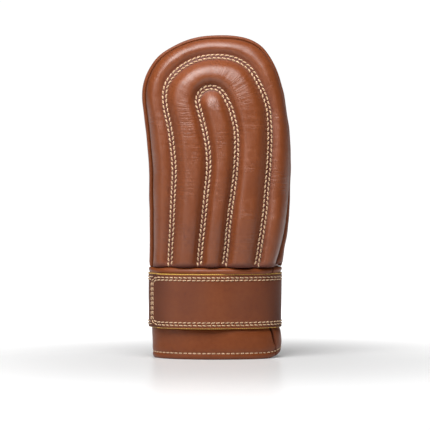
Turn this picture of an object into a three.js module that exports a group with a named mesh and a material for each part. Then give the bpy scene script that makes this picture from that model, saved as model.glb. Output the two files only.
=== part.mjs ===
import * as THREE from "three";

// Bag glove: one mitt of a pair, standing on its cuff. Millimetres, +Z up.
// The quilted back of the hand faces -Y and the palm faces +Y.

// Overall sizes of the body
const gloveHeight = 284;
const bodyHalfWidth = 63;
const archStart = 0.764 * gloveHeight;
const archRise = gloveHeight - archStart;
const bodyRoundness = 2.4;
const sideLeather = 2.2;
const seamGap = 0.3;

// Depths from the side seam: the padded back in front, the palm behind
const backDepth = 42;
const palmDepth = 31;
const wristFrontDepth = 33;
const sideWallFront = 8;
const sideWallBack = 10;
const gussetExtraFront = 9;

// Quilted pad
const padEdgeThickness = 2;
const padRise = backDepth - sideWallFront - padEdgeThickness;
const padHollowRise = 5;
const padHollowExtra = 12;
const padTopRim = 3;
const channelDip = 5.5;
const padWristShare = 0.88;
const padTaperLength = 45;
const padDome = 5;
const padDomeStart = 0.5 * gloveHeight;
const padDomeLength = 0.32 * gloveHeight;
const padEndRounding = 3.5;
const padEndLength = 8;
const valleyRoundness = 2.2;
const outerValleyHalf = 0.71 * bodyHalfWidth;
const outerValleyRise = 0.71 * archRise;
const innerValleyHalf = 0.22 * bodyHalfWidth;
const innerValleyRise = 0.303 * archRise;

// Palm side
const rollCore = 0.775 * palmDepth;
const seamSlope = 0.085;
const seamDrop = 3.5;
const slantFadeUp = 24;
const slantFadeDown = 95;

// Cuff
const cuffTop = 0.2817 * gloveHeight;
const cuffRoundness = 2.2;
const cuffHalfWidth = 0.905 * bodyHalfWidth;
const cuffFrontDepth = 34;
const cuffPalmDepth = 32;
const cuffLeather = 2.4;
const hemHeight = 0.4 * cuffTop;
const flapLift = 8;
const flapCornerWide = 21;
const flapCornerHigh = 18;
const flapCornerSmall = 8;
const slitCentre = -10;
const slitWidth = 7.5;
const liningThickness = 1.2;
const liningStart = 9;
const liningClearance = 0.7;
const liningSetBack = 0.6;

// Wrist strap
const strapBottom = 0.339 * cuffTop;
const cuffStrip = 5.6;
const strapTop = cuffTop - cuffStrip;
const strapHeight = strapTop - strapBottom;
const strapLeather = 2.6;
const strapLift = 0.3;
const strapLayerGap = 0.4;
const strapCornerLong = 12;
const strapCornerHigh = 9;

// Body outline: a row per height, shares of gloveHeight and bodyHalfWidth
const bodyRows = [
  { at: 0.282, centre: -0.021, half: 0.927 },
  { at: 0.333, centre: 0.0, half: 0.941 },
  { at: 0.395, centre: 0.021, half: 0.963 },
  { at: 0.458, centre: 0.032, half: 0.974 },
  { at: 0.520, centre: 0.035, half: 0.984 },
  { at: 0.582, centre: 0.040, half: 0.988 },
  { at: 0.645, centre: 0.028, half: 0.998 },
  { at: 0.707, centre: 0.007, half: 1.003 },
  { at: 0.764, centre: -0.028, half: 1.0 },
  { at: 0.816, centre: -0.056, half: 1.0 },
  { at: 0.847, centre: -0.067, half: 1.0 },
  { at: 0.910, centre: -0.056, half: 1.0 },
  { at: 0.941, centre: -0.035, half: 1.0 },
  { at: 0.972, centre: 0.014, half: 1.0 },
  { at: 1.0, centre: 0.055, half: 1.0 },
];

// Rim left between the pad edge and the body outline, millimetres by share of gloveHeight
const rimRows = [
  { at: 0.282, left: 3.2, right: 7.0 },
  { at: 0.333, left: 3.4, right: 4.6 },
  { at: 0.430, left: 3.4, right: 2.4 },
  { at: 0.560, left: 3.4, right: 0.9 },
  { at: 1.0, left: 3.2, right: 0.9 },
];

// Stitched valleys of the pad, shares of bodyHalfWidth by share of gloveHeight
const valleyRows = [
  { at: 0.282, outerLeft: -0.652, innerLeft: -0.249, innerRight: 0.095, outerRight: 0.543 },
  { at: 0.338, outerLeft: -0.644, innerLeft: -0.230, innerRight: 0.127, outerRight: 0.584 },
  { at: 0.399, outerLeft: -0.627, innerLeft: -0.200, innerRight: 0.151, outerRight: 0.625 },
  { at: 0.460, outerLeft: -0.616, innerLeft: -0.173, innerRight: 0.184, outerRight: 0.662 },
  { at: 0.521, outerLeft: -0.603, innerLeft: -0.146, innerRight: 0.224, outerRight: 0.683 },
  { at: 0.582, outerLeft: -0.592, innerLeft: -0.117, innerRight: 0.254, outerRight: 0.708 },
  { at: 0.643, outerLeft: -0.613, innerLeft: -0.125, innerRight: 0.268, outerRight: 0.724 },
  { at: 0.704, outerLeft: -0.648, innerLeft: -0.173, innerRight: 0.260, outerRight: 0.729 },
  { at: 0.764, outerLeft: -0.706, innerLeft: -0.241, innerRight: 0.198, outerRight: 0.714 },
];

// Centres of the two arches the valleys close in, shares of bodyHalfWidth by share of arch rise
const valleyArchRows = [
  { rise: 0.0, outer: 0.004, inner: -0.021 },
  { rise: 0.37, outer: -0.048, inner: -0.062 },
  { rise: 0.55, outer: -0.056, inner: -0.074 },
  { rise: 0.80, outer: -0.030, inner: -0.080 },
  { rise: 1.0, outer: -0.004, inner: -0.082 },
];

// Palm surface by height: outside depth as a share of palmDepth
const palmRows = [
  { at: 0.282, depth: 1.0 },
  { at: 0.390, depth: 1.0 },
  { at: 0.500, depth: 1.05 },
  { at: 0.600, depth: 1.07 },
  { at: 0.655, depth: 1.06 },
  { at: 0.676, depth: 0.99 },
  { at: 0.690, depth: 0.84 },
];

// Grip roll: share of its height against share of palmDepth
const rollRows = [
  { at: 0.0, depth: 0.84 },
  { at: 0.10, depth: 1.02 },
  { at: 0.28, depth: 1.18 },
  { at: 0.52, depth: 1.25 },
  { at: 0.76, depth: 1.20 },
  { at: 0.92, depth: 1.10 },
  { at: 1.0, depth: 1.01 },
];

// Cuff walls by share of cuffTop: shares of the cuff half width and of its two depths
const cuffRows = [
  { at: 0.0, centre: -0.008, half: 0.986, front: 0.985, palm: 0.97 },
  { at: 0.16, centre: 0.0, half: 0.998, front: 1.0, palm: 1.0 },
  { at: 0.29, centre: -0.012, half: 0.998, front: 0.985, palm: 0.99 },
  { at: 0.35, centre: -0.030, half: 0.984, front: 0.95, palm: 0.96 },
  { at: 0.65, centre: -0.032, half: 0.982, front: 0.94, palm: 0.95 },
  { at: 0.90, centre: -0.030, half: 0.984, front: 0.94, palm: 0.95 },
  { at: 0.93, centre: -0.030, half: 0.984, front: 0.94, palm: 0.95 },
  { at: 0.955, centre: -0.028, half: 1.000, front: 1.03, palm: 0.96 },
  { at: 0.98, centre: -0.025, half: 1.014, front: 1.08, palm: 0.97 },
  { at: 1.0, centre: -0.022, half: 1.020, front: 1.07, palm: 0.97 },
];

// Turned hem of the cuff by share of hemHeight: shares of cuffLeather added outside and inside
const hemRows = [
  { at: 0.0, outside: -0.25, inside: 0.25 },
  { at: 0.044, outside: 0.0, inside: 0.0 },
  { at: 0.156, outside: 0.083, inside: -0.042 },
  { at: 0.375, outside: 0.0, inside: 0.0 },
  { at: 1.0, outside: 0.0, inside: 0.0 },
];

// Angles round the cuff, degrees: 0 is the right side, 90 the front, 180 the left, 270 the palm
const cuffAngles = { gussetPalm: -32, gussetFront: 32, backLeft: 188, liftStart: 45, seamLean: 8 };
const strapAngles = { start: 101, rampStart: 432, rampEnd: 458, end: 517.2 };

// Value at x on a smooth curve through the rows of a table
function along(rows, input, column, x) {
  const last = rows.length - 1;
  if (x <= rows[0][input]) return rows[0][column];
  if (x >= rows[last][input]) return rows[last][column];
  let i = 0;
  while (rows[i + 1][input] < x) i++;
  const slope = (k) => {
    const a = rows[Math.max(k - 1, 0)];
    const b = rows[Math.min(k + 1, last)];
    return (b[column] - a[column]) / (b[input] - a[input]);
  };
  const span = rows[i + 1][input] - rows[i][input];
  const t = (x - rows[i][input]) / span;
  const t2 = t * t;
  const t3 = t2 * t;
  return (2 * t3 - 3 * t2 + 1) * rows[i][column] + (t3 - 2 * t2 + t) * span * slope(i)
    + (3 * t2 - 2 * t3) * rows[i + 1][column] + (t3 - t2) * span * slope(i + 1);
}

const ease = (t) => {
  const s = Math.min(Math.max(t, 0), 1);
  return s * s * (3 - 2 * s);
};
const signedPower = (v, power) => Math.sign(v) * Math.abs(v) ** power;
const mix = (a, b, t) => a + (b - a) * t;
const steps = (count) => Array.from({ length: count + 1 }, (_, i) => i / count);

// Body outline
const bodyCentre = (z) => bodyHalfWidth * along(bodyRows, "at", "centre", z / gloveHeight);
const bodyHalf = (z) => bodyHalfWidth * along(bodyRows, "at", "half", z / gloveHeight);
const rimLeft = (z) => along(rimRows, "at", "left", z / gloveHeight);
const rimRight = (z) => along(rimRows, "at", "right", z / gloveHeight);
const round = (rho, power) => Math.max(1 - rho ** power, 0) ** (1 / power);

// How far the side wall reaches forwards: more at the lower right, where it widens to a gusset
const gussetShare = (z) => 1 - ease((z - cuffTop) / 80);
const wallFront = (z, rightShare) => sideWallFront + gussetExtraFront * gussetShare(z) * rightShare;
const frontDepthAt = (z) => mix(wristFrontDepth, backDepth, ease((z - cuffTop) / 80));

// A point of the fan that fills the outline: station 0..1 runs from the left wrist over the
// fingertips to the right wrist, rho is 0 at the middle and 1 at the outline
const legHeights = [0, 0.012, 0.04, 0.085, 0.165, 0.27, 0.38, 0.49, 0.6, 0.71, 0.82, 0.91, 1];
const legZ = (share) => mix(cuffTop + seamGap, archStart, share);
const archSteps = 20;
const stations = [
  ...legHeights.map((share) => ({ side: -1, z: legZ(share) })),
  ...steps(archSteps).slice(1, -1).map((t) => ({ angle: Math.PI * (1 - t) })),
  ...legHeights.map((share) => ({ side: 1, z: legZ(share) })).reverse(),
];

function outlinePoint(station, rho) {
  if (station.angle === undefined) {
    return [bodyCentre(station.z) + station.side * bodyHalf(station.z) * rho, station.z];
  }
  const power = 2 / bodyRoundness;
  const z = archStart + archRise * rho * Math.sin(station.angle) ** power;
  return [bodyCentre(z) + bodyHalfWidth * rho * signedPower(Math.cos(station.angle), power), z];
}

// Closed body from an outside and an inside grid of points; a folded one meets itself along its last row
function sheet(name, columns, rows, outside, inside, colour, folded = false) {
  const positions = [];
  const index = [];
  const seen = new Map();
  const vertex = (p) => {
    const key = p.map((v) => Math.round(v * 1e4)).join(",");
    if (!seen.has(key)) {
      seen.set(key, positions.length / 3);
      positions.push(...p);
    }
    return seen.get(key);
  };
  const grid = (surface) => columns.map((u) => rows.map((v) => vertex(surface(u, v))));
  const faces = [];
  const triangle = (a, b, c) => {
    if (a !== b && b !== c && a !== c) faces.push([a, b, c]);
  };
  const quad = (a, b, c, d) => {
    triangle(a, b, c);
    triangle(a, c, d);
  };
  const out = grid(outside);
  const back = grid(inside);
  const nu = columns.length - 1;
  const nv = rows.length - 1;
  for (let i = 0; i < nu; i++) {
    for (let j = 0; j < nv; j++) {
      quad(out[i][j], out[i + 1][j], out[i + 1][j + 1], out[i][j + 1]);
      quad(back[i][j], back[i][j + 1], back[i + 1][j + 1], back[i + 1][j]);
    }
    quad(out[i][0], back[i][0], back[i + 1][0], out[i + 1][0]);
    if (!folded) quad(out[i][nv], out[i + 1][nv], back[i + 1][nv], back[i][nv]);
  }
  for (let j = 0; j < nv; j++) {
    quad(out[0][j], out[0][j + 1], back[0][j + 1], back[0][j]);
    quad(out[nu][j], back[nu][j], back[nu][j + 1], out[nu][j + 1]);
  }
  let volume = 0;
  for (const face of faces) {
    index.push(...face);
    const [a, b, c] = face.map((i) => new THREE.Vector3(...positions.slice(3 * i, 3 * i + 3)));
    volume += a.dot(b.cross(c)) / 6;
  }
  if (volume < 0) index.reverse();
  const geometry = new THREE.BufferGeometry();
  geometry.setAttribute("position", new THREE.Float32BufferAttribute(positions, 3));
  geometry.setIndex(index);
  geometry.computeVertexNormals();
  const mesh = new THREE.Mesh(geometry, new THREE.MeshStandardMaterial({ color: colour, name }));
  mesh.name = name;
  return mesh;
}

// Quilted pad: edge, two stitched valleys and a spine as curves of the same stations
const valley = (column, z) => bodyHalfWidth * along(valleyRows, "at", column, z / gloveHeight);
const spineAt = (z) => (valley("innerLeft", z) + valley("innerRight", z)) / 2;

function padEdge(station) {
  if (station.angle === undefined) {
    const rim = station.side < 0 ? rimLeft(station.z) : rimRight(station.z);
    return [bodyCentre(station.z) + station.side * (bodyHalf(station.z) - rim), station.z];
  }
  const power = 2 / bodyRoundness;
  const z = archStart + (archRise - padTopRim) * Math.sin(station.angle) ** power;
  const across = signedPower(Math.cos(station.angle), power);
  const rim = across < 0 ? rimLeft(z) : rimRight(z);
  return [bodyCentre(z) + (bodyHalfWidth - rim) * across, z];
}

function valleyPoint(station, name, half, rise) {
  if (station.angle === undefined) {
    return [valley(name + (station.side < 0 ? "Left" : "Right"), station.z), station.z];
  }
  const power = 2 / valleyRoundness;
  const up = Math.sin(station.angle) ** power;
  const centre = bodyHalfWidth * along(valleyArchRows, "rise", name, up);
  return [centre + half * signedPower(Math.cos(station.angle), power), archStart + rise * up];
}

const spinePoint = (station) => {
  const z = station.angle === undefined ? station.z : archStart;
  return [spineAt(z), z];
};

// Columns of the pad: which two curves they lie between, and the share of the way
const padColumns = [
  ...[0, 0.1, 0.3, 0.55, 0.8, 0.92].map((share) => ({ band: 0, share })),
  ...[0, 0.09, 0.25, 0.5, 0.75, 0.91].map((share) => ({ band: 1, share })),
  ...[0, 0.2, 0.55, 1].map((share) => ({ band: 2, share })),
];
const padLengths = { edge: 0, outer: 1, inner: 2, spine: 3 };

function padPlace(station, column) {
  const curves = [
    padEdge(station),
    valleyPoint(station, "outer", outerValleyHalf, outerValleyRise),
    valleyPoint(station, "inner", innerValleyHalf, innerValleyRise),
    spinePoint(station),
  ];
  const a = curves[column.band];
  const b = curves[column.band + 1];
  return [mix(a[0], b[0], column.share), mix(a[1], b[1], column.share)];
}

function channelCrest(column) {
  if (column.band === padLengths.edge) return column.share < 0.5 ? 1 : Math.sin(Math.PI * column.share) ** 0.7;
  if (column.band === padLengths.outer) return Math.sin(Math.PI * column.share) ** 0.7;
  return Math.sin(0.5 * Math.PI * column.share) ** 0.7;
}

// Share of the pad's full depth at a place: 0 on its edge, 1 in the middle
function padFullness(x, z) {
  const right = x > bodyCentre(z);
  const rim = right ? rimRight(z) : rimLeft(z);
  const up = Math.max(z - archStart, 0) / (archRise - padTopRim);
  const half = (z > archStart ? bodyHalfWidth : bodyHalf(z)) - rim;
  const across = Math.min(Math.abs(x - bodyCentre(z)) / half, 1);
  const filled = Math.min(across ** bodyRoundness + up ** bodyRoundness, 1);
  return (1 - filled) ** (1 / bodyRoundness);
}

function padSeat(x, z) {
  const share = Math.min(Math.max((x - bodyCentre(z)) / bodyHalf(z), 0) / 0.86, 1);
  return wallFront(z, share ** 2) + seamGap;
}

function padFront(station, column) {
  const [x, z] = padPlace(station, column);
  const full = padFullness(x, z);
  const end = Math.max(1 - (z - cuffTop - seamGap) / padEndLength, 0) ** 2;
  const dip = channelDip * (1 - channelCrest(column)) * Math.min(full * 1.6, 1);
  const dome = padDome * (Math.max(z - padDomeStart, 0) / padDomeLength) ** 2;
  const rise = padRise * mix(padWristShare, 1, ease((z - cuffTop) / padTaperLength)) - dome;
  const depth = padSeat(x, z) + padEdgeThickness + (rise * full - dip) - padEndRounding * end * full;
  return [x, -depth, z];
}

function padBack(station, column) {
  const [x, z] = padPlace(station, column);
  const rise = padHollowRise + padHollowExtra * (1 - ease((z - cuffTop) / 60));
  return [x, -(padSeat(x, z) + rise * padFullness(x, z)), z];
}

// Side wall between the pad and the palm
function wallPlace(station, share, inward) {
  const z = station.angle === undefined ? station.z : archStart;
  const right = station.angle === undefined ? (station.side > 0 ? 1 : 0) : 0;
  const front = wallFront(z, right);
  const y = mix(-front, sideWallBack, share);
  const depth = y < 0 ? frontDepthAt(z) : palmDepth;
  const rho = round(Math.abs(y) / depth, bodyRoundness) - inward / bodyHalfWidth;
  const [x, up] = outlinePoint(station, rho);
  return [x, y, up];
}

// Palm pieces: the height is slanted so that the seams run lower on the left
function slant(x, z) {
  const fade = z > archStart
    ? 1 - ease((z - archStart) / slantFadeUp)
    : 1 - ease((archStart - z) / slantFadeDown);
  return z + (seamSlope * x - seamDrop) * fade;
}

function palmPlace(share, z, depth, inward) {
  const start = Math.asin(((sideWallBack + seamGap) / depth) ** (bodyRoundness / 2));
  const angle = mix(Math.PI - start, start, share);
  const power = 2 / bodyRoundness;
  const x = bodyCentre(z) + (bodyHalf(z) - inward) * signedPower(Math.cos(angle), power);
  return [x, depth * Math.sin(angle) ** power, slant(x, z)];
}

function pocketPlace(turn, share, inward) {
  const depth = palmDepth - inward;
  const reach = round((sideWallBack + seamGap) / depth, bodyRoundness);
  const rho = reach * share;
  const power = 2 / bodyRoundness;
  const z = archStart + seamGap + (archRise - seamGap - inward) * rho * Math.sin(turn) ** power;
  const x = bodyCentre(z) + (bodyHalfWidth - inward) * rho * signedPower(Math.cos(turn), power);
  return [x, depth * round(rho, bodyRoundness), slant(x, z)];
}

// Cuff surface at an angle in degrees and a height, moved outwards by grow
function cuffPlace(degrees, z, grow) {
  const at = z / cuffTop;
  const angle = degrees * Math.PI / 180;
  const power = 2 / cuffRoundness;
  const half = cuffHalfWidth * along(cuffRows, "at", "half", at) + grow;
  const depth = Math.sin(angle) > 0
    ? cuffFrontDepth * along(cuffRows, "at", "front", at)
    : cuffPalmDepth * along(cuffRows, "at", "palm", at);
  const x = cuffHalfWidth * along(cuffRows, "at", "centre", at) + half * signedPower(Math.cos(angle), power);
  return [x, -(depth + grow) * signedPower(Math.sin(angle), power), z];
}

// Angle where the cuff passes a given x on the palm side
function palmAngle(x, z, grow) {
  const at = z / cuffTop;
  const half = cuffHalfWidth * along(cuffRows, "at", "half", at) + grow;
  const share = (x - cuffHalfWidth * along(cuffRows, "at", "centre", at)) / half;
  const cosine = signedPower(share, cuffRoundness / 2);
  return 360 - Math.acos(Math.min(Math.max(cosine, -1), 1)) * 180 / Math.PI;
}

const slitHalf = (z) => mix(slitWidth / 2, seamGap / 2, ease((z / cuffTop - 0.439) / 0.425));

// Height of the lower edge of the cuff at an angle: on the floor in front, lifted on the palm side
function edgeLift(degrees) {
  if (degrees > 180) return flapLift * ease((degrees - cuffAngles.backLeft) / 26);
  return flapLift * ease((cuffAngles.liftStart - degrees) / (cuffAngles.liftStart - cuffAngles.gussetPalm));
}
const raised = (z, lift) => z + lift * Math.max(1 - z / hemHeight, 0);

// The front seam of the gusset leans in towards the hem
const frontSeam = (z) => cuffAngles.gussetFront - cuffAngles.seamLean * Math.max(1 - z / hemHeight, 0);

const wallRows = [
  0, 0.044 * hemHeight, 0.156 * hemHeight, 0.375 * hemHeight, 0.25 * cuffTop, 0.3125 * cuffTop,
  0.35 * cuffTop, 0.65 * cuffTop, strapTop, cuffTop - 2, cuffTop,
];

function hemSwell(side, row) {
  const swell = cuffLeather * along(hemRows, "at", side, row / hemHeight);
  return side === "outside" ? swell : swell - cuffLeather;
}

function cuffPanel(name, from, to, count, colour) {
  const gap = seamGap / 2 / cuffHalfWidth * 180 / Math.PI;
  const wall = (side) => (share, row) => {
    const degrees = mix(from(row) + gap, to(row) - gap, share);
    return cuffPlace(degrees, raised(row, edgeLift(degrees)), hemSwell(side, row));
  };
  return sheet(name, steps(count), wallRows, wall("outside"), wall("inside"), colour);
}

// A palm flap: share 0 at its side seam, share 1 at the slit, its corner rounded off
function cuffFlap(name, seamDegrees, side, cornerWide, cornerHigh, colour) {
  const shares = [0, 0.12, 0.25, 0.38, 0.5, 0.61, 0.71, 0.8, 0.87, 0.93, 0.97, 1];
  const gap = seamGap / 2 / cuffHalfWidth * 180 / Math.PI;
  const wall = (wallSide) => (share, row) => {
    const seamX = cuffPlace(seamDegrees, row, 0)[0];
    const edgeX = slitCentre + side * slitWidth / 2;
    const fromSlit = Math.abs(edgeX - seamX) * (1 - share);
    const inCorner = Math.max(1 - fromSlit / cornerWide, 0);
    const corner = cornerHigh * (1 - Math.sqrt(1 - inCorner ** 2));
    const start = seamDegrees + (side > 0 ? -gap : gap);
    const base = seamDegrees > 200 ? flapLift : edgeLift(mix(start, 270, share));
    const lift = base + corner;
    const z = raised(row, lift);
    const end = palmAngle(slitCentre + side * slitHalf(z), z, 0);
    return cuffPlace(mix(start, end, share), z, hemSwell(wallSide, row));
  };
  return sheet(name, shares, wallRows, wall("outside"), wall("inside"), colour);
}

// Lining inside the cuff, open along the slit and short of the hem
function lining(name, colour) {
  const rows = [liningStart, 0.2625 * cuffTop, 0.35 * cuffTop, 0.65 * cuffTop, strapTop];
  const wall = (grow) => (share, z) => {
    const first = palmAngle(slitCentre + slitHalf(z) + liningSetBack, z, 0) - 360;
    const last = palmAngle(slitCentre - slitHalf(z) - liningSetBack, z, 0);
    const degrees = mix(first, last, share);
    return cuffPlace(degrees, raised(z, edgeLift(degrees)), -cuffLeather - liningClearance - grow);
  };
  return sheet(name, steps(50), rows, wall(0), wall(liningThickness), colour);
}

// Wrist strap: one band wound once round the cuff, its free end over its own beginning
function strapPlace(degrees, rowShare, grow) {
  const over = ease((degrees - strapAngles.rampStart) / (strapAngles.rampEnd - strapAngles.rampStart));
  const lift = strapLift + over * (strapLeather + strapLayerGap) + grow;
  const toEnd = (strapAngles.end - degrees) * Math.PI / 180 * 38;
  const inCorner = Math.max(1 - toEnd / strapCornerLong, 0);
  const cut = strapCornerHigh * (1 - Math.sqrt(1 - Math.min(inCorner, 1) ** 2));
  const middle = strapBottom + strapHeight / 2;
  const z = middle + (strapHeight / 2 - cut) * rowShare;
  return cuffPlace(degrees, z, lift);
}

function strap(name, colour) {
  const main = steps(62).map((t) => mix(strapAngles.start, strapAngles.end - 18, t));
  const tip = [14.4, 11.2, 8.4, 6, 4, 2.4, 1.1, 0.3, 0].map((d) => strapAngles.end - d);
  const rows = [-1, -0.5, 0, 0.5, 1];
  const side = (grow) => (degrees, share) => strapPlace(degrees, share, grow);
  return sheet(name, [...main, ...tip], rows, side(strapLeather), side(0), colour);
}

const leather = { pad: 0x8a4a2e, base: 0x7d4229, palm: 0x84462b, strap: 0x8f4e31, lining: 0x1c1a1c };
const acrossSteps = steps(22);
const palmHeights = [0.0, 0.1, 0.22, 0.36, 0.5, 0.64, 0.77, 0.86, 0.92, 0.96, 1].map((t) => mix(
  cuffTop + seamGap, 0.690 * gloveHeight, t));
const rollBottom = 0.690 * gloveHeight + seamGap;
const rollAt = [0, 0.05, 0.14, 0.28, 0.46, 0.64, 0.8, 0.92, 1];

const palmOutside = (share, z) => palmPlace(share, z,
  palmDepth * along(palmRows, "at", "depth", z / gloveHeight), 0);
const palmInside = (share, z) => palmPlace(share, z,
  palmDepth * along(palmRows, "at", "depth", z / gloveHeight) - sideLeather, sideLeather);
const rollOutside = (share, at) => palmPlace(share, mix(rollBottom, archStart, at),
  palmDepth * along(rollRows, "at", "depth", at), 0);
const rollInside = (share, at) => palmPlace(share, mix(rollBottom, archStart, at), rollCore, sideLeather);
const pocketTurns = steps(22).map((t) => Math.PI * (1 - t));
const pocketRho = [0, 0.2, 0.4, 0.58, 0.73, 0.85, 0.94, 1];

const group = new THREE.Group();
group.name = "bag_glove";
group.add(
  sheet("quilted_pad", stations, padColumns, padFront, padBack, leather.pad, true),
  sheet("side_wall", stations, [0, 0.22, 0.44, 0.62, 0.8, 1],
    (s, t) => wallPlace(s, t, 0), (s, t) => wallPlace(s, t, sideLeather), leather.base),
  sheet("finger_pocket", pocketTurns, pocketRho,
    (a, r) => pocketPlace(a, r, 0), (a, r) => pocketPlace(a, r, sideLeather), leather.palm),
  sheet("grip_roll", acrossSteps, rollAt, rollOutside, rollInside, leather.palm),
  sheet("palm_panel", acrossSteps, palmHeights, palmOutside, palmInside, leather.palm),
  cuffPanel("cuff_back", frontSeam, () => cuffAngles.backLeft, 28, leather.base),
  cuffPanel("cuff_gusset", () => cuffAngles.gussetPalm, frontSeam, 10, leather.base),
  cuffFlap("cuff_flap_right", cuffAngles.gussetPalm + 360, 1, flapCornerWide, flapCornerHigh, leather.palm),
  cuffFlap("cuff_flap_left", cuffAngles.backLeft, -1, flapCornerSmall, flapCornerSmall, leather.palm),
  lining("cuff_lining", leather.lining),
  strap("wrist_strap", leather.strap),
);

// The origin sits under the middle of the whole glove, on the floor
const box = new THREE.Box3().setFromObject(group);
const middle = box.getCenter(new THREE.Vector3());
for (const mesh of group.children) {
  mesh.geometry.translate(-middle.x, -middle.y, -box.min.z);
}

export default group;
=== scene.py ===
# %% [markdown]
# # A leather bag glove in Blender
# This lesson dresses one old-fashioned bag mitt: a quilted leather back over foam, a plain palm,
# a stuffed grip roll, a cuff with a slit and a wide wrist strap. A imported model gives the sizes.
# It is loaded first and never changed, and each visible piece is made in its place.

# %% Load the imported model
import math
import bpy
import numpy as np
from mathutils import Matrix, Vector, noise


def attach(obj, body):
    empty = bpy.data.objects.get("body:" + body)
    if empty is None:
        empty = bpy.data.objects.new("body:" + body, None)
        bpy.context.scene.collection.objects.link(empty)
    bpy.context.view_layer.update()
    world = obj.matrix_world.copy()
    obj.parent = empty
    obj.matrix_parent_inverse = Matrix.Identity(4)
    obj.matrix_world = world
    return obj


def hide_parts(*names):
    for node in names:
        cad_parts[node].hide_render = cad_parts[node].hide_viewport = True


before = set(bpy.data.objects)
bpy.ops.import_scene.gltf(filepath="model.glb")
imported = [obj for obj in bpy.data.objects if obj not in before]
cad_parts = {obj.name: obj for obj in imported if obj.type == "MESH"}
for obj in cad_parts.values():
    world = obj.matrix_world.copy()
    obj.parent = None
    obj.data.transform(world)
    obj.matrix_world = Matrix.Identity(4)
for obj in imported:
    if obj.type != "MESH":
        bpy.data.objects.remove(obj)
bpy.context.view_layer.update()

MM = 0.001

# %% [markdown]
# ## Sizes and curves
# The maker of such a mitt works from a paper pattern. Here the pattern is a few named sizes in
# millimetres and short tables with a row per height, with smooth curves drawn through the rows.

# %% Named sizes, in millimetres
GLOVE_HEIGHT = 284
BODY_HALF_WIDTH = 63
ARCH_START = 0.764 * GLOVE_HEIGHT
ARCH_RISE = GLOVE_HEIGHT - ARCH_START
BODY_ROUNDNESS = 2.4
BODY_POWER = 2 / BODY_ROUNDNESS
BACK_DEPTH = 42
PALM_DEPTH = 31
WRIST_FRONT_DEPTH = 33
WRIST_TAPER = 80
WALL_FRONT = 8
WALL_BACK = 10
GUSSET_EXTRA = 9
SEAM_GAP = 0.3
CUFF_TOP = 0.2817 * GLOVE_HEIGHT
# from the pattern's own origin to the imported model's
SHIFT = np.array([0.531, 1.87, 0.0])


# %% Tables and smooth curves through them
def table(names, rows):
    """A table with named columns as one array per column."""
    return {name: np.array(values, float) for name, values in zip(names, zip(*rows))}


def along(rows, column, x):
    """The value of a column at x, on a smooth curve through the rows."""
    keys, values = rows["at"], rows[column]
    slopes = np.empty_like(values)
    slopes[1:-1] = (values[2:] - values[:-2]) / (keys[2:] - keys[:-2])
    slopes[0] = (values[1] - values[0]) / (keys[1] - keys[0])
    slopes[-1] = (values[-1] - values[-2]) / (keys[-1] - keys[-2])
    x = np.clip(x, keys[0], keys[-1])
    i = np.clip(np.searchsorted(keys, x, side="right") - 1, 0, len(keys) - 2)
    span = keys[i + 1] - keys[i]
    t = (x - keys[i]) / span
    return ((2 * t**3 - 3 * t**2 + 1) * values[i] + (t**3 - 2 * t**2 + t) * span * slopes[i]
            + (3 * t**2 - 2 * t**3) * values[i + 1] + (t**3 - t**2) * span * slopes[i + 1])


def ease(t):
    """0 up to t = 0, 1 from t = 1, and a smooth rise between them."""
    t = np.clip(t, 0, 1)
    return t * t * (3 - 2 * t)


def fade_in(distance, reach):
    """0 at no distance, growing evenly to 1 at the reach and beyond."""
    return np.clip(distance / reach, 0, 1)


def signed_power(v, power):
    return np.sign(v) * np.abs(v) ** power


def rounding(rho, power):
    return np.maximum(1 - rho**power, 0) ** (1 / power)


body_rows = table(("at", "centre", "half"), [
    (0.282, -0.021, 0.927), (0.333, 0.000, 0.941), (0.395, 0.021, 0.963), (0.458, 0.032, 0.974),
    (0.520, 0.035, 0.984), (0.582, 0.040, 0.988), (0.645, 0.028, 0.998), (0.707, 0.007, 1.003),
    (0.764, -0.028, 1.000), (0.816, -0.056, 1.000), (0.847, -0.067, 1.000), (0.910, -0.056, 1.000),
    (0.941, -0.035, 1.000), (0.972, 0.014, 1.000), (1.000, 0.055, 1.000)])


def body_centre(z):
    return BODY_HALF_WIDTH * along(body_rows, "centre", z / GLOVE_HEIGHT)


def body_half(z):
    return BODY_HALF_WIDTH * along(body_rows, "half", z / GLOVE_HEIGHT)


print("body width in mm at the arch:", 2 * round(float(body_half(ARCH_START)), 1))

# %% [markdown]
# ## Turning a pattern piece into leather
# A leather panel has an outside, an inside and a turned, rounded edge. A surface function gives
# the outside. The edge rounds down over its last millimetre or so, the inside is set back by the
# leather's thickness, and the two are joined all round, so each panel is a closed body.


# %% Mesh helpers
EDGE_LINE = 1.2  # how far in from an edge the painted dark line of shade reaches


def shares(length, step, fine=(0, 0.15, 0.4, 0.75, 1.2, 1.8, 2.6, 3.6)):
    """Shares of a length: close together near both ends, a step apart between them."""
    fine = np.array([f for f in fine if f < length * 0.45])
    count = max(int((length - 2 * fine[-1]) / step), 1)
    middle = np.linspace(fine[-1], length - fine[-1], count + 1)[1:-1]
    return np.concatenate([fine, middle, length - fine[::-1]]) / length


def grid_normals(points):
    """Unit normals of a grid of points, turned outwards from the mitt's upright axis."""
    normals = np.cross(np.gradient(points, axis=0), np.gradient(points, axis=1))
    size = np.linalg.norm(normals, axis=2)
    bad = size < 1e-9
    normals[~bad] /= size[~bad][:, None]
    outward = points * (1, 1, 0)
    turn = 1 if np.sum(normals * outward) > 0 else -1
    for j in np.flatnonzero(bad.any(axis=0)):
        near = j + 1 if j == 0 else j - 1
        mean = normals[:, near].mean(axis=0)
        normals[bad[:, j], j] = mean / np.linalg.norm(mean)
    return normals * turn, turn


def walked(points, axis=0):
    """How far along its line each point lies, in millimetres. The lines run along the axis."""
    step = np.linalg.norm(np.diff(points, axis=axis), axis=-1)
    first = np.zeros_like(np.take(step, [0], axis=axis))
    return np.concatenate([first, np.cumsum(step, axis=axis)], axis=axis)


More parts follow.
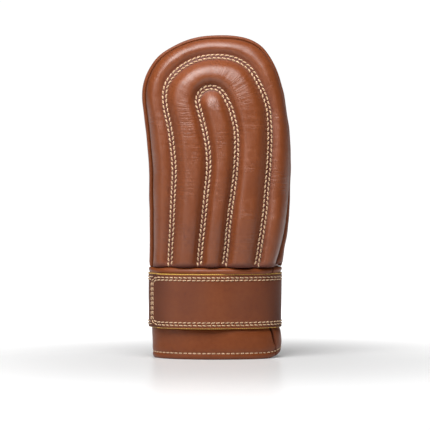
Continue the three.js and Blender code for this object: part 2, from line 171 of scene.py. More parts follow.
def edge_distance(points, axis):
    """Distance of each grid point from the nearer end of its own line, in millimetres."""
    run = walked(points, axis)
    return np.minimum(run, np.take(run, [-1], axis=axis) - run)


def unit(vectors):
    """The same directions, each vector one long."""
    return vectors / np.maximum(np.linalg.norm(vectors, axis=-1, keepdims=True), 1e-12)


def new_piece(name, points, faces):
    """A smooth mesh object from points in millimetres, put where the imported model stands."""
    mesh = bpy.data.meshes.new(name)
    mesh.from_pydata(((np.array(points) + SHIFT) * MM).tolist(), [], faces)
    mesh.polygons.foreach_set("use_smooth", [True] * len(mesh.polygons))
    piece = bpy.data.objects.new(name, mesh)
    bpy.context.collection.objects.link(piece)
    return piece


def closed_body(name, outside, inside, turn, tone, folded=False, lay=None):
    """One closed mesh from an outside and an inside grid. tone colours the outside, and lay says
    in millimetres how far along a channel and how far across it each point lies."""
    nu, nv = outside.shape[:2]
    points = np.concatenate([outside.reshape(-1, 3), inside.reshape(-1, 3)])
    top = np.arange(nu * nv).reshape(nu, nv)
    low = top + nu * nv

    def quads(a, b, c, d):
        return np.stack([a, b, c, d], axis=-1).reshape(-1, 4)

    faces = [
        quads(top[:-1, :-1], top[1:, :-1], top[1:, 1:], top[:-1, 1:]),
        quads(low[:-1, :-1], low[:-1, 1:], low[1:, 1:], low[1:, :-1]),
        quads(top[:-1, 0], low[:-1, 0], low[1:, 0], top[1:, 0]),
        quads(top[0, :-1], top[0, 1:], low[0, 1:], low[0, :-1]),
        quads(top[-1, :-1], low[-1, :-1], low[-1, 1:], top[-1, 1:]),
    ]
    if not folded:
        faces.append(quads(top[:-1, -1], top[1:, -1], low[1:, -1], low[:-1, -1]))
    faces = np.concatenate(faces)
    if turn < 0:
        faces = faces[:, ::-1]
    # points that fall together become one point, and what shrinks to a line is dropped
    _, first, back = np.unique(np.round(points, 4), axis=0, return_index=True, return_inverse=True)
    faces = back.reshape(-1)[faces]
    clean = []
    for face in faces.tolist():
        ring = [v for k, v in enumerate(face) if v != face[k - 1]]
        if len(set(ring)) >= 3:
            clean.append(ring)
    piece = new_piece(name, points[first], clean)
    values = np.zeros(len(points))
    values[:nu * nv] = tone.reshape(-1)
    layer = piece.data.attributes.new("tone", "FLOAT", "POINT")
    layer.data.foreach_set("value", values[first])
    if lay is not None:
        both_sides = np.concatenate([lay.reshape(-1, 3)] * 2)
        layer = piece.data.attributes.new("lay", "FLOAT_VECTOR", "POINT")
        layer.data.foreach_set("vector", both_sides[first].reshape(-1))
    return piece


def painted_edge_shade(points, gap):
    """Painted shade: a dark line along a panel's edges, where panels meet and shade falls."""
    return (1 - fade_in(gap, EDGE_LINE)) * 0.5


def leather_panel(name, place, u, v, thickness=2.2, edge=1.0, inside=None, relief=None,
                  round_ends=(True, True), tone=painted_edge_shade):
    """A panel whose outside is place(u, v), with rounded edges and its own thickness. relief and
    tone are functions of the points and of the gap between them and the panel's edge."""
    points = place(u[:, None], v[None, :])
    normals, turn = grid_normals(points)
    gap = np.full(points.shape[:2], 1e3)
    for axis in (0, 1):
        if round_ends[axis]:
            gap = np.minimum(gap, edge_distance(points, axis))
    near = np.clip(edge - gap, 0, edge)
    drop = edge - np.sqrt(np.maximum(edge**2 - near**2, 0))
    lift = relief(points, gap) if relief else 0
    outside = points + normals * (lift - drop)[..., None]
    back = inside(u[:, None], v[None, :]) if inside else points - normals * thickness
    return closed_body(name, outside, back, turn, tone(points, gap))


def wander(points, size, seed):
    """Smooth noise over points in millimetres, -1 to 1. size is the distance between swells."""
    size = np.array(size, float)
    flat = (points.reshape(-1, 3) / size + seed * 17.3).tolist()
    return np.array([noise.noise(p) for p in flat]).reshape(points.shape[:2])


def dress(piece, material, slot, *nodes):
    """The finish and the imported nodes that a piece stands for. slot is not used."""
    piece.data.materials.append(material)
    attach(piece, "root")
    if nodes:
        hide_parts(*nodes)
    print(piece.name, len(piece.data.polygons), "faces")


# %% [markdown]
# ## Leather, thread and lining
# The mitt is taken to be vegetable-tanned cowhide, dyed chestnut and waxed, which shines softly: a
# fairly low roughness, a thin coat, small swells of tone and a fine pebbled grain. The tone value
# painted on each mesh brings in painted shade where panels meet and in valleys and hollows, and on
# the strap also clouds of darker tone. The thread is made as a cream waxed cotton, the strap's edge
# is bound in ochre thread, and the cuff is lined with black cloth.


# %% Colours and nodes
def linear(hex_colour):
    """An sRGB hex colour as the linear values Blender's sockets take."""
    parts = [int(hex_colour[i:i + 2], 16) / 255 for i in (1, 3, 5)]
    return (*[p / 12.92 if p <= 0.04045 else ((p + 0.055) / 1.055) ** 2.4 for p in parts], 1.0)


def add(tree, kind, settings=None, links=None):
    """Adds a node. settings go to its properties or sockets, links join its sockets."""
    node = tree.nodes.new(kind)
    for key, value in (settings or {}).items():
        if isinstance(key, str) and hasattr(node, key):
            setattr(node, key, value)
        else:
            node.inputs[key].default_value = value
    for key, source in (links or {}).items():
        tree.links.new(source, node.inputs[key])
    return node


def new_material(name):
    material = bpy.data.materials.new(name)
    material.use_nodes = True
    tree = material.node_tree
    tree.nodes.clear()
    return material, tree


# %% Waxed chestnut cowhide
GRAIN_MM = 1.2  # a pebble of the grain: about 0.6 mm on a real hide, twice as coarse here to show
SMOOTH = {"interpolation_type": "SMOOTHSTEP"}  # a range that eases in and out


def cowhide(name, dark, middle, light, roughness, gloss, crease=0.35, wrinkle=0.0):
    """Dyed and waxed cowhide. gloss is the strength of the wax's shine, crease that of the soft
    creases, and wrinkle that of the fine wrinkles across a stuffed channel."""
    material, tree = new_material(name)
    place = add(tree, "ShaderNodeTexCoord").outputs["Object"]
    painted_shade_and_clouds = add(tree, "ShaderNodeAttribute", {"attribute_name": "tone"}).outputs["Fac"]

    # colour: broad patches and small flecks of dye, darker where the tone attribute is high
    patches = add(tree, "ShaderNodeTexNoise", {"Scale": 1 / (26 * MM), "Detail": 3.0},
                  {"Vector": place})
    flecks = add(tree, "ShaderNodeTexNoise", {"Scale": 1 / (3.2 * MM), "Detail": 5.0},
                 {"Vector": place})
    blend = add(tree, "ShaderNodeMix", {"data_type": "FLOAT", 0: 0.45},
                {2: patches.outputs["Fac"], 3: flecks.outputs["Fac"]})
    ramp = add(tree, "ShaderNodeValToRGB", None, {"Fac": blend.outputs[0]})
    for stop, (position, colour) in enumerate(((0.08, dark), (0.42, middle), (0.80, light))):
        if stop > 1:
            ramp.color_ramp.elements.new(position)
        ramp.color_ramp.elements[stop].position = position
        ramp.color_ramp.elements[stop].color = linear(colour)
    # tone mixes in painted shade, and on the strap random clouds of darker tone too
    seam = add(tree, "ShaderNodeMix", {"data_type": "RGBA", 7: linear(dark)},
               {0: painted_shade_and_clouds, 6: ramp.outputs["Color"]})

    # relief: creases, then wrinkles across the channels, then the pebbled grain
    upright = add(tree, "ShaderNodeMapping", {"Scale": (0.4, 0.4, 1.0)}, {"Vector": place})
    creases = add(tree, "ShaderNodeTexNoise",
                  {"Scale": 1 / (2.6 * MM), "Detail": 3.0, "Distortion": 0.6},
                  {"Vector": upright.outputs[0]})
    relief = add(tree, "ShaderNodeBump", {"Strength": crease, "Distance": 0.35 * MM},
                 {"Height": creases.outputs["Fac"]})
    if wrinkle:
        # lay is in millimetres, so a wrinkle is about 1.6 mm wide and 14 mm long
        lay = add(tree, "ShaderNodeAttribute", {"attribute_name": "lay"}).outputs["Vector"]
        drawn_out = add(tree, "ShaderNodeMapping", {"Scale": (0.62, 0.07, 1.0)}, {"Vector": lay})
        fine = add(tree, "ShaderNodeTexNoise", {"Scale": 1.0, "Detail": 1.5, "Distortion": 0.5},
                   {"Vector": drawn_out.outputs[0]})
        crisp = add(tree, "ShaderNodeMapRange", {**SMOOTH, "From Min": 0.40, "From Max": 0.62},
                    {"Value": fine.outputs["Fac"]})
        stretches = add(tree, "ShaderNodeTexNoise", {"Scale": 1 / (20 * MM), "Detail": 1.0},
                        {"Vector": place})
        here = add(tree, "ShaderNodeMapRange",
                   {**SMOOTH, "From Min": 0.44, "From Max": 0.60, "To Min": 0.15},
                   {"Value": stretches.outputs["Fac"]})
        wrinkles = add(tree, "ShaderNodeMath", {"operation": "MULTIPLY"},
                       {0: crisp.outputs[0], 1: here.outputs[0]})
        relief = add(tree, "ShaderNodeBump", {"Strength": wrinkle, "Distance": 0.25 * MM},
                     {"Height": wrinkles.outputs[0], "Normal": relief.outputs[0]})
    pebbles = add(tree, "ShaderNodeTexVoronoi", {"Scale": 1 / (GRAIN_MM * MM)}, {"Vector": place})
    relief = add(tree, "ShaderNodeBump", {"Strength": 0.2, "Distance": 0.12 * MM, "invert": True},
                 {"Height": pebbles.outputs["Distance"], "Normal": relief.outputs[0]})

    # gloss: the wax is duller in flecks and in the seams
    flecked = add(tree, "ShaderNodeMapRange",
                  {**SMOOTH, "From Min": 0.3, "From Max": 0.7, "To Min": roughness - 0.04,
                   "To Max": roughness + 0.06}, {"Value": flecks.outputs["Fac"]})
    dull = add(tree, "ShaderNodeMath", {"operation": "MULTIPLY_ADD", 1: 0.5},
               {0: painted_shade_and_clouds, 2: flecked.outputs[0]})
    shader = add(tree, "ShaderNodeBsdfPrincipled",
                 {"IOR": 1.5, "Specular IOR Level": gloss, "Coat Weight": 0.15,
                  "Coat Roughness": 0.3},
                 {"Base Color": seam.outputs[2], "Roughness": dull.outputs[0],
                  "Normal": relief.outputs[0]})
    add(tree, "ShaderNodeOutputMaterial", None, {"Surface": shader.outputs[0]})
    return material


pad_hide = cowhide("quilted chestnut cowhide", "#521b07", "#723610", "#7d401b",
                   roughness=0.41, gloss=0.62, crease=0.2, wrinkle=0.5)
body_hide = cowhide("chestnut cowhide of the walls", "#481a08", "#723611", "#7e3f19",
                    roughness=0.46, gloss=0.3)
palm_hide = cowhide("chestnut cowhide of the palm", "#44190a", "#7d3c17", "#8a461f",
                    roughness=0.46, gloss=0.4)
strap_hide = cowhide("smooth chestnut strap hide", "#3d1508", "#703514", "#7c411d",
                     roughness=0.44, gloss=0.4, crease=0.2)
print("leathers:", pad_hide.name, body_hide.name, palm_hide.name, strap_hide.name)


# %% Waxed thread and black lining cloth
WAVE_LENGTH = 0.314  # of Blender's wave texture at scale 1
TWIST_MM = 1.1


def waxed_thread(name, colour, shade):
    """Twisted cotton thread drawn through wax. The twist shows as slanting dark lines."""
    material, tree = new_material(name)
    place = add(tree, "ShaderNodeTexCoord").outputs["Object"]
    slanted = add(tree, "ShaderNodeMapping", {"Rotation": (0.6, 0.5, 0.7)}, {"Vector": place})
    twist = add(tree, "ShaderNodeTexWave",
                {"Scale": WAVE_LENGTH / (TWIST_MM * MM), "Distortion": 0.8},
                {"Vector": slanted.outputs[0]})
    uneven = add(tree, "ShaderNodeTexNoise", {"Scale": 1 / (6 * MM), "Detail": 2.0},
                 {"Vector": place})
    both = add(tree, "ShaderNodeMath", {"operation": "MULTIPLY"},
               {0: twist.outputs["Fac"], 1: uneven.outputs["Fac"]})
    ramp = add(tree, "ShaderNodeValToRGB", None, {"Fac": both.outputs[0]})
    ramp.color_ramp.elements[0].color = linear(shade)
    ramp.color_ramp.elements[1].position = 0.45
    ramp.color_ramp.elements[1].color = linear(colour)
    bump = add(tree, "ShaderNodeBump", {"Strength": 0.4, "Distance": 0.12 * MM},
               {"Height": twist.outputs["Fac"]})
    shader = add(tree, "ShaderNodeBsdfPrincipled", {"Roughness": 0.6, "Sheen Weight": 0.25},
                 {"Base Color": ramp.outputs["Color"], "Normal": bump.outputs[0]})
    add(tree, "ShaderNodeOutputMaterial", None, {"Surface": shader.outputs[0]})
    return material


def lining_cloth(name):
    """Closely woven black cotton twill, threads 0.5 mm apart, drawn at 1 mm so that they show."""
    material, tree = new_material(name)
    place = add(tree, "ShaderNodeTexCoord").outputs["Object"]
    slanted = add(tree, "ShaderNodeMapping", {"Rotation": (0.0, 0.8, 0.0)}, {"Vector": place})
    twill = add(tree, "ShaderNodeTexWave", {"Scale": WAVE_LENGTH / (1.0 * MM), "Distortion": 0.5},
                {"Vector": slanted.outputs[0]})
    ramp = add(tree, "ShaderNodeValToRGB", None, {"Fac": twill.outputs["Fac"]})
    ramp.color_ramp.elements[0].color = linear("#0f0e10")
    ramp.color_ramp.elements[1].color = linear("#242226")
    bump = add(tree, "ShaderNodeBump", {"Strength": 0.5, "Distance": 0.2 * MM},
               {"Height": twill.outputs["Fac"]})
    shader = add(tree, "ShaderNodeBsdfPrincipled", {"Roughness": 0.85, "Sheen Weight": 0.3},
                 {"Base Color": ramp.outputs["Color"], "Normal": bump.outputs[0]})
    add(tree, "ShaderNodeOutputMaterial", None, {"Surface": shader.outputs[0]})
    return material


cream_thread = waxed_thread("cream waxed cotton thread", "#d8b795", "#a67f56")
ochre_thread = waxed_thread("ochre binding thread", "#cfa038", "#a0741f")
black_twill = lining_cloth("black cotton twill lining")
print("threads and lining:", cream_thread.name, ochre_thread.name, black_twill.name)

# %% [markdown]
# ## The quilted pad
# The back of the hand is one leather face over thick foam, stitched right through along two
# nested arches, with a plain channel up the middle. It is drawn as a fan of stations that run
# from the left wrist over the fingertips to the right wrist. Across each station lie four curves:
# the pad's edge, the outer stitched valley, the inner one and the spine. Between valleys the
# foam swells, and a valley has a flat floor for its two rows of stitches. The leather is sewn
# down along close rows that set its shape, so no cloth is simulated: a formula makes the swell.

# %% Sizes and curves of the pad
PAD_EDGE = 2
PAD_RISE = BACK_DEPTH - WALL_FRONT - PAD_EDGE
PAD_HOLLOW = 5
PAD_HOLLOW_EXTRA = 12
PAD_TOP_RIM = 3
PAD_WRIST_SHARE = 0.88
PAD_TAPER = 45
PAD_DOME = 5
PAD_DOME_START = 0.5 * GLOVE_HEIGHT
PAD_DOME_LENGTH = 0.32 * GLOVE_HEIGHT
CHANNEL_DIP = 7.5
PAD_ROUNDNESS = 2.2
VALLEY_FLOOR = 2.3
VALLEY_ROUNDNESS = 2.2
ROW_SPACING = 2.9

rim_rows = table(("at", "left", "right"), [
    (0.282, 3.2, 7.0), (0.333, 3.4, 4.6), (0.430, 3.4, 2.4), (0.560, 3.4, 0.9), (1.000, 3.2, 0.9)])
valley_rows = table(("at", "outer_left", "inner_left", "inner_right", "outer_right"), [
    (0.282, -0.652, -0.249, 0.095, 0.543), (0.338, -0.644, -0.230, 0.127, 0.584),
    (0.399, -0.627, -0.200, 0.151, 0.625), (0.460, -0.616, -0.173, 0.184, 0.662),
    (0.521, -0.603, -0.146, 0.224, 0.683), (0.582, -0.592, -0.117, 0.254, 0.708),
    (0.643, -0.613, -0.125, 0.268, 0.724), (0.704, -0.648, -0.173, 0.260, 0.729),
    (0.764, -0.706, -0.241, 0.198, 0.714)])
arch_rows = table(("at", "outer", "inner"), [
    (0.0, 0.004, -0.021), (0.37, -0.048, -0.062), (0.55, -0.056, -0.074), (0.80, -0.030, -0.080),
    (1.0, -0.004, -0.082)])
arch_sizes = {"outer": (0.71 * BODY_HALF_WIDTH, 0.71 * ARCH_RISE),
              "inner": (0.22 * BODY_HALF_WIDTH, 0.303 * ARCH_RISE)}
for arch, (half, rise) in arch_sizes.items():
    print(f"{arch} arch: half width {half:.1f} mm, rise {rise:.1f} mm")


# %% Edge, valleys and spine of the pad
def fan(leg_steps, arch_steps):
    """Stations as two arrays: the height on a leg, and the angle round the arch."""
    leg = CUFF_TOP + SEAM_GAP + (ARCH_START - CUFF_TOP - SEAM_GAP) * leg_steps
    arch = math.pi * (1 - np.linspace(0, 1, arch_steps + 1)[1:-1])
    height = np.concatenate([leg, np.full(len(arch), ARCH_START), leg[::-1]])
    angle = np.concatenate([np.full(len(leg), math.pi), arch, np.zeros(len(leg))])
    return height, angle


def rise_of(angle, power):
    return np.maximum(np.sin(angle), 0) ** power * (np.sin(angle) > 1e-9)


def pad_edge(height, angle):
    z = height + (ARCH_RISE - PAD_TOP_RIM) * rise_of(angle, BODY_POWER)
    across = signed_power(np.cos(angle), BODY_POWER)
    rim = np.where(across < 0, along(rim_rows, "left", z / GLOVE_HEIGHT),
                   along(rim_rows, "right", z / GLOVE_HEIGHT))
    return np.stack([body_centre(z) + (body_half(z) - rim) * across, z], axis=-1)


def valley_curve(name, height, angle):
    up = rise_of(angle, 2 / VALLEY_ROUNDNESS)
    half, rise = arch_sizes[name]
    leg = np.where(angle > 1.5, along(valley_rows, name + "_left", height / GLOVE_HEIGHT),
                   along(valley_rows, name + "_right", height / GLOVE_HEIGHT)) * BODY_HALF_WIDTH
    arch = (BODY_HALF_WIDTH * along(arch_rows, name, up)
            + half * signed_power(np.cos(angle), 2 / VALLEY_ROUNDNESS))
    return np.stack([np.where(up > 0, arch, leg), height + rise * up], axis=-1)


def spine_x(z):
    at = np.minimum(z, ARCH_START) / GLOVE_HEIGHT
    left, right = along(valley_rows, "inner_left", at), along(valley_rows, "inner_right", at)
    return BODY_HALF_WIDTH * (left + right) / 2


# %% Depth of the pad
# where the lower right begins, across and upwards, and how long each takes to fade in
LOWER_RIGHT_SIDE, SIDE_FADE = 20, 20
LOWER_RIGHT_TOP, TOP_FADE = 170, 60


def gusset_share(z):
    return 1 - ease((z - CUFF_TOP) / WRIST_TAPER)


def lower_right(x, z):
    """1 at the lower right of the back of the hand, 0 on its left and over the fingers."""
    return ease((x - LOWER_RIGHT_SIDE) / SIDE_FADE) * ease((LOWER_RIGHT_TOP - z) / TOP_FADE)


def pad_seat(x, z):
    """How far in front of the side seam the pad's edge sits: more at the lower right."""
    share = np.clip(np.maximum((x - body_centre(z)) / body_half(z), 0) / 0.86, 0, 1)
    return WALL_FRONT + SEAM_GAP + GUSSET_EXTRA * gusset_share(z) * share**2


def pad_fullness(x, z):
    """Share of the pad's depth at a place: 0 on its edge and 1 in the middle."""
    at = z / GLOVE_HEIGHT
    rim = np.where(x > body_centre(z), along(rim_rows, "right", at), along(rim_rows, "left", at))
    up = np.maximum(z - ARCH_START, 0) / (ARCH_RISE - PAD_TOP_RIM)
    half = body_half(z) - rim
    across = np.minimum(np.abs(x - body_centre(z)) / half, 1)
    filled = np.minimum(across**BODY_ROUNDNESS + up**BODY_ROUNDNESS, 1)
    return (1 - filled) ** (1 / PAD_ROUNDNESS)


def pad_depth(x, z, crest):
    """Depth of the pad's face in front of the side seam. crest is 0 in a valley, 1 on a channel."""
    full = pad_fullness(x, z)
    above = np.clip(z - CUFF_TOP - SEAM_GAP, 0, 5) / 5
    end = 4.5 * (1 - np.sqrt(np.maximum(1 - (1 - above) ** 2, 0)))
    dip = CHANNEL_DIP * (1 - crest) * np.minimum(full * 1.6, 1) * (1 - 0.5 * (1 - above))
    dome = PAD_DOME * (np.maximum(z - PAD_DOME_START, 0) / PAD_DOME_LENGTH) ** 2
    grown = PAD_WRIST_SHARE + (1 - PAD_WRIST_SHARE) * ease((z - CUFF_TOP) / PAD_TAPER)
    rise = PAD_RISE * grown - dome
    edge = PAD_EDGE * np.sqrt(np.minimum(full * 6, 1))
    return pad_seat(x, z) + edge + rise * full - dip - end * np.minimum(full * 1.5, 1)


# %% Shape the pad
PUCKER_HIGH = 0.38
SWELL_HIGH = 0.7
DIMPLE_HIGH = 0.18
FOLD_DEEP = 0.45
FOLDS_FROM, FOLDS_FADE = 150, 60
VALLEY_SHADE = 3.2  # how far from a stitched valley the painted shade reaches

leg_steps = np.concatenate([[0, 0.002, 0.006, 0.012, 0.02, 0.03, 0.042, 0.055],
                            np.linspace(0.07, 1, 92)])
height, angle = fan(leg_steps, 96)
curves = [pad_edge(height, angle), valley_curve("outer", height, angle),
          valley_curve("inner", height, angle),
          np.stack([spine_x(height), height], axis=-1)]
edge_band = np.array([0, .004, .015, .035, .065, .1, .14, .19, .25, .32, .39, .46, .53, .6, .66,
                      .71, .75, .785, .82, .85, .88, .91, .94, .97])
near = np.array([0, .02, .04, .06, .08, .1, .12, .145, .175, .21, .26, .32, .4])
middle_band = np.concatenate([near, [0.5], 1 - near[::-1]])[:-1]
spine_band = np.array([0, .05, .1, .15, .2, .25, .31, .38, .46, .56, .7, .85, 1])
# for each band: the shares across it, and how far from a valley its channel is full, as a share
# of the band's width and in millimetres at most
bands = ((edge_band, 1.1, 17), (middle_band, 0.5, 14), (spine_band, 1.0, 22))


def puff(t):
    """How foam swells from the foot of a valley, t 0, to the top of a channel, t 1."""
    t = np.clip(t, 0, 1)
    t = t * t / (t + 0.06) * 1.06
    return 1 - (1 - t) ** 2.8


columns, crests, reaches, folds = [], [], [], []
for band, (across_band, full_share, full_mm) in enumerate(bands):
    a, b = curves[band], curves[band + 1]
    width = np.linalg.norm(b - a, axis=1)
    top = np.minimum(full_share * width, full_mm)
    for share in across_band:
        near_valley = (1 - share, min(share, 1 - share), share)[band] * width
        columns.append(a + (b - a) * share)
        crests.append(puff((near_valley - VALLEY_FLOOR) / np.maximum(top - VALLEY_FLOOR, 1)))
        reaches.append(near_valley)
        folds.append(0.0 if band == 2 else 1.0)
face, crest, reach = (np.stack(each, axis=1) for each in (columns, crests, reaches))
x, z = face[..., 0], face[..., 1]
depth = pad_depth(x, z, crest)
flat = np.stack([x, -depth, z], axis=-1)
# distance walked along each line of stations, so that puckers run across it
station_mm = np.broadcast_to(walked(flat).mean(axis=1, keepdims=True), reach.shape)
pucker_at = np.stack([station_mm, reach, np.zeros_like(reach)], axis=-1)
pucker = wander(pucker_at, (2.6, 9, 1), 1) * np.exp(-np.maximum(reach - VALLEY_FLOOR, 0) / 5)
pucker *= (reach > VALLEY_FLOOR * 0.9) * PUCKER_HIGH
swell = wander(flat, (26, 26, 26), 2) * SWELL_HIGH + wander(flat, (9, 9, 5), 3) * DIMPLE_HIGH
fold = np.clip(wander(pucker_at, (4.2, 60, 1), 4), 0, 1) * ease((z - FOLDS_FROM) / FOLDS_FADE)
fold = fold * crest * -FOLD_DEEP * np.array(folds)
full = pad_fullness(x, z)
relief = (pucker + swell * crest + fold) * np.minimum(full * 2, 1)
front = np.stack([x, -(depth + relief), z], axis=-1)
hollow = PAD_HOLLOW + PAD_HOLLOW_EXTRA * (1 - ease((z - CUFF_TOP) / 60))
back = np.stack([x, -(pad_seat(x, z) + hollow * full), z], axis=-1)
# painted shade: the colour darkens where shade falls in the valleys, at the foot and round the edge
painted_pad_shade = np.maximum.reduce([
    0.95 * np.exp(-(reach / VALLEY_SHADE) ** 2),  # in the stitched valleys
    np.clip(1.15 - (z - CUFF_TOP) / 4.5, 0, 1),  # at the pad's foot
    0.6 * np.clip(1 - full * 3.5, 0, 1),  # round its edge
    np.clip(1 - full * 4, 0, 1) * lower_right(x, z)])  # and more so at the lower right
normals, turn = grid_normals(front)
pad = closed_body("quilted_back", front, back, turn, painted_pad_shade, folded=True, lay=pucker_at)
dress(pad, pad_hide, "pad_leather", "quilted_pad")

# %% [markdown]
# ## Side wall, finger pocket, grip roll and palm
# Behind the pad a leather wall runs round the edge. The palm side is cut in three: a D-shaped
# pocket over the fingers, a stuffed roll to grip, and the palm. Their seams slant a little.


# %% Side wall
GROOVE_DEEP = 5.5
GROOVE_WIDE = 2.4


def front_depth_at(z):
    grown = ease((z - CUFF_TOP) / WRIST_TAPER)
    return WRIST_FRONT_DEPTH + (BACK_DEPTH - WRIST_FRONT_DEPTH) * grown


def wall_at(station, share):
    """The wall at a station 0..1 of the fan and a share of the way from the pad to the palm."""
    index = station * (len(wall_height) - 1)
    low = np.clip(np.floor(index).astype(int), 0, len(wall_height) - 2)
    t = index - low
    base = wall_height[low] * (1 - t) + wall_height[low + 1] * t
    turn_at = wall_angle[low] * (1 - t) + wall_angle[low + 1] * t
    right = np.where(turn_at < 1e-6, 1.0, 0.0)
    reach_front = WALL_FRONT + GUSSET_EXTRA * gusset_share(base) * right
    y = -reach_front + (WALL_BACK + reach_front) * share
    deep = np.where(y < 0, front_depth_at(base), PALM_DEPTH)
    rho = rounding(np.abs(y) / deep, BODY_ROUNDNESS)
    z_at = base + ARCH_RISE * rho * rise_of(turn_at, BODY_POWER)
    x_at = body_centre(z_at) + body_half(z_at) * rho * signed_power(np.cos(turn_at), BODY_POWER)
    return np.stack([x_at, y + 0 * z_at, z_at], axis=-1)


wall_legs = np.concatenate([[0, 0.002, 0.006, 0.012, 0.02], np.linspace(0.035, 1, 60)])
wall_height, wall_angle = fan(wall_legs, 72)


def beside_pad(points):
    """1 on the wall's front part at the lower right, where it turns in beside the pad."""
    return lower_right(points[..., 0], points[..., 2]) * (points[..., 1] < -3)


def wall_relief(points, gap):
    """The wall swells a little, and at the lower right its front edge sinks beside the pad."""
    groove = -GROOVE_DEEP * np.exp(-(gap / GROOVE_WIDE) ** 2) * beside_pad(points)
    creases = wander(points, (5, 5, 60), 14) * 0.6 * lower_right(points[..., 0], points[..., 2])
    swell = 0.5 + wander(points, (18, 18, 14), 5) * 0.35
    return groove + creases * fade_in(gap, 3) + swell * fade_in(gap, 5)


def wall_painted_shade(points, gap):
    """Painted shade: dark in the groove at the lower right, and only a little at the other edges.
    """
    in_groove = np.clip(1.6 - gap / 2.6, 0, 1) * beside_pad(points)
    return (1 - fade_in(gap, EDGE_LINE)) * 0.12 + in_groove * 0.9


wall = leather_panel("side_wall_leather", wall_at, np.linspace(0, 1, len(wall_height)),
                     shares(20, 1.6, (0, 0.2, 0.5, 0.9, 1.4, 2.0)), relief=wall_relief,
                     thickness=3.0, tone=wall_painted_shade)
dress(wall, body_hide, "body_leather", "side_wall")

# %% Palm surfaces
ROLL_CORE = 0.775 * PALM_DEPTH
ROLL_INSET = 2.2
SEAM_SLOPE = 0.085
SEAM_DROP = 3.5
SLANT_UP = 24
SLANT_DOWN = 95
PALM_TOP = 0.690 * GLOVE_HEIGHT

palm_rows = table(("at", "depth"), [
    (0.282, 1.0), (0.390, 1.0), (0.500, 1.05), (0.600, 1.07), (0.655, 1.06), (0.676, 0.99),
    (0.690, 0.84)])
roll_rows = table(("at", "depth"), [
    (0.0, 0.84), (0.10, 1.02), (0.28, 1.18), (0.52, 1.25), (0.76, 1.20), (0.92, 1.10), (1.0, 1.01)])


def slant(x, z):
    """The seams across the palm rise towards the right as seen from the back of the hand."""
    fade = np.where(z > ARCH_START, 1 - ease((z - ARCH_START) / SLANT_UP),
                    1 - ease((ARCH_START - z) / SLANT_DOWN))
    return z + (SEAM_SLOPE * x - SEAM_DROP) * fade


def palm_at(share, z, deep, inward=0.0):
    start = np.arcsin(((WALL_BACK + SEAM_GAP) / deep) ** (BODY_ROUNDNESS / 2))
    turn_at = math.pi - start + (2 * start - math.pi) * share
    x_at = body_centre(z) + (body_half(z) - inward) * signed_power(np.cos(turn_at), BODY_POWER)
    y_at = deep * np.sin(turn_at) ** BODY_POWER
    return np.stack([x_at, y_at, slant(x_at, z + 0 * x_at)], axis=-1)


def palm_outside(share, z):
    return palm_at(share, z, PALM_DEPTH * along(palm_rows, "depth", z / GLOVE_HEIGHT))


def roll_z(at):
    return PALM_TOP + SEAM_GAP + (ARCH_START - PALM_TOP - SEAM_GAP) * at


def roll_outside(share, at):
    return palm_at(share, roll_z(at), PALM_DEPTH * along(roll_rows, "depth", at))


def roll_inside(share, at):
    return palm_at(share, roll_z(at), np.full_like(at, ROLL_CORE), ROLL_INSET)


def pocket_at(turn_share, share):
    turn_at = math.pi * (1 - turn_share)
    reach_out = rounding((WALL_BACK + SEAM_GAP) / PALM_DEPTH, BODY_ROUNDNESS)
    rho = reach_out * share
    z_at = ARCH_START + SEAM_GAP + (ARCH_RISE - SEAM_GAP) * rho * rise_of(turn_at, BODY_POWER)
    x_at = body_centre(z_at) + BODY_HALF_WIDTH * rho * signed_power(np.cos(turn_at), BODY_POWER)
    y_at = PALM_DEPTH * rounding(rho, BODY_ROUNDNESS) + 0 * x_at
    return np.stack([x_at, y_at, slant(x_at, z_at)], axis=-1)


def soft_relief(points, gap):
    """Plain leather that gives a little with the hand, in broad and in small swells."""
    broad = 0.8 * wander(points, (45, 45, 38), 6) * fade_in(gap, 8)
    return broad + wander(points, (14, 14, 7), 7) * 0.25 * fade_in(gap, 3)


def roll_relief(points, gap):
    """The stuffed roll is puckered across its length."""
    puckers = wander(points, (7, 40, 40), 8)
    return (puckers * 0.45 + wander(points, (16, 16, 16), 9) * 0.4) * fade_in(gap, 4)


# %% Make the palm pieces
across = shares(150, 2.0)
pocket = leather_panel("finger_pocket_leather", pocket_at, shares(190, 2.0),
                       shares(66, 2.0, (0.0, 0.6, 1.4, 2.4, 3.6)), relief=soft_relief)
dress(pocket, palm_hide, "palm_leather", "finger_pocket")
roll = leather_panel("grip_roll_leather", roll_outside, across,
                     shares(24, 0.9, (0, 0.3, 0.7, 1.2)), inside=roll_inside,
                     relief=roll_relief, edge=0.8)
dress(roll, palm_hide, "palm_leather", "grip_roll")
palm_z = CUFF_TOP + SEAM_GAP + (PALM_TOP - CUFF_TOP - SEAM_GAP) * shares(118, 1.8)
palm = leather_panel("palm_leather", palm_outside, across, palm_z, relief=soft_relief)
dress(palm, palm_hide, "palm_leather", "palm_panel")

# %% [markdown]
# ## The cuff
# The cuff is a short oval tube in four panels: one across the back of the hand, a narrow gusset
# on the right, and two flaps on the palm side whose rounded corners leave a slit for the hand.
# Its lower edge is turned in and stitched down, and black twill lines it above that hem.

# %% Cuff sizes and surface
CUFF_ROUNDNESS = 2.2
CUFF_HALF_WIDTH = 0.905 * BODY_HALF_WIDTH
CUFF_FRONT = 34
CUFF_PALM = 32
CUFF_LEATHER = 2.4
CUFF_POWER = 2 / CUFF_ROUNDNESS
HEM_TURN = 0.7
TOP_ROUND = 1.6
SOFT_ROLL_AT, SOFT_ROLL_HALF = 76.2, 4.0
SOFT_ROLL_SIDE, SOFT_ROLL_FRONT = 0.022, 0.15
HEM_HEIGHT = 0.4 * CUFF_TOP
FLAP_LIFT = 8
SLIT_CENTRE = -10
SLIT_WIDTH = 7.5
SLIT_CLOSES_FROM, SLIT_CLOSES_OVER = 0.439, 0.425
CUFF_STRIP = 5.6
STRAP_BOTTOM = 0.339 * CUFF_TOP
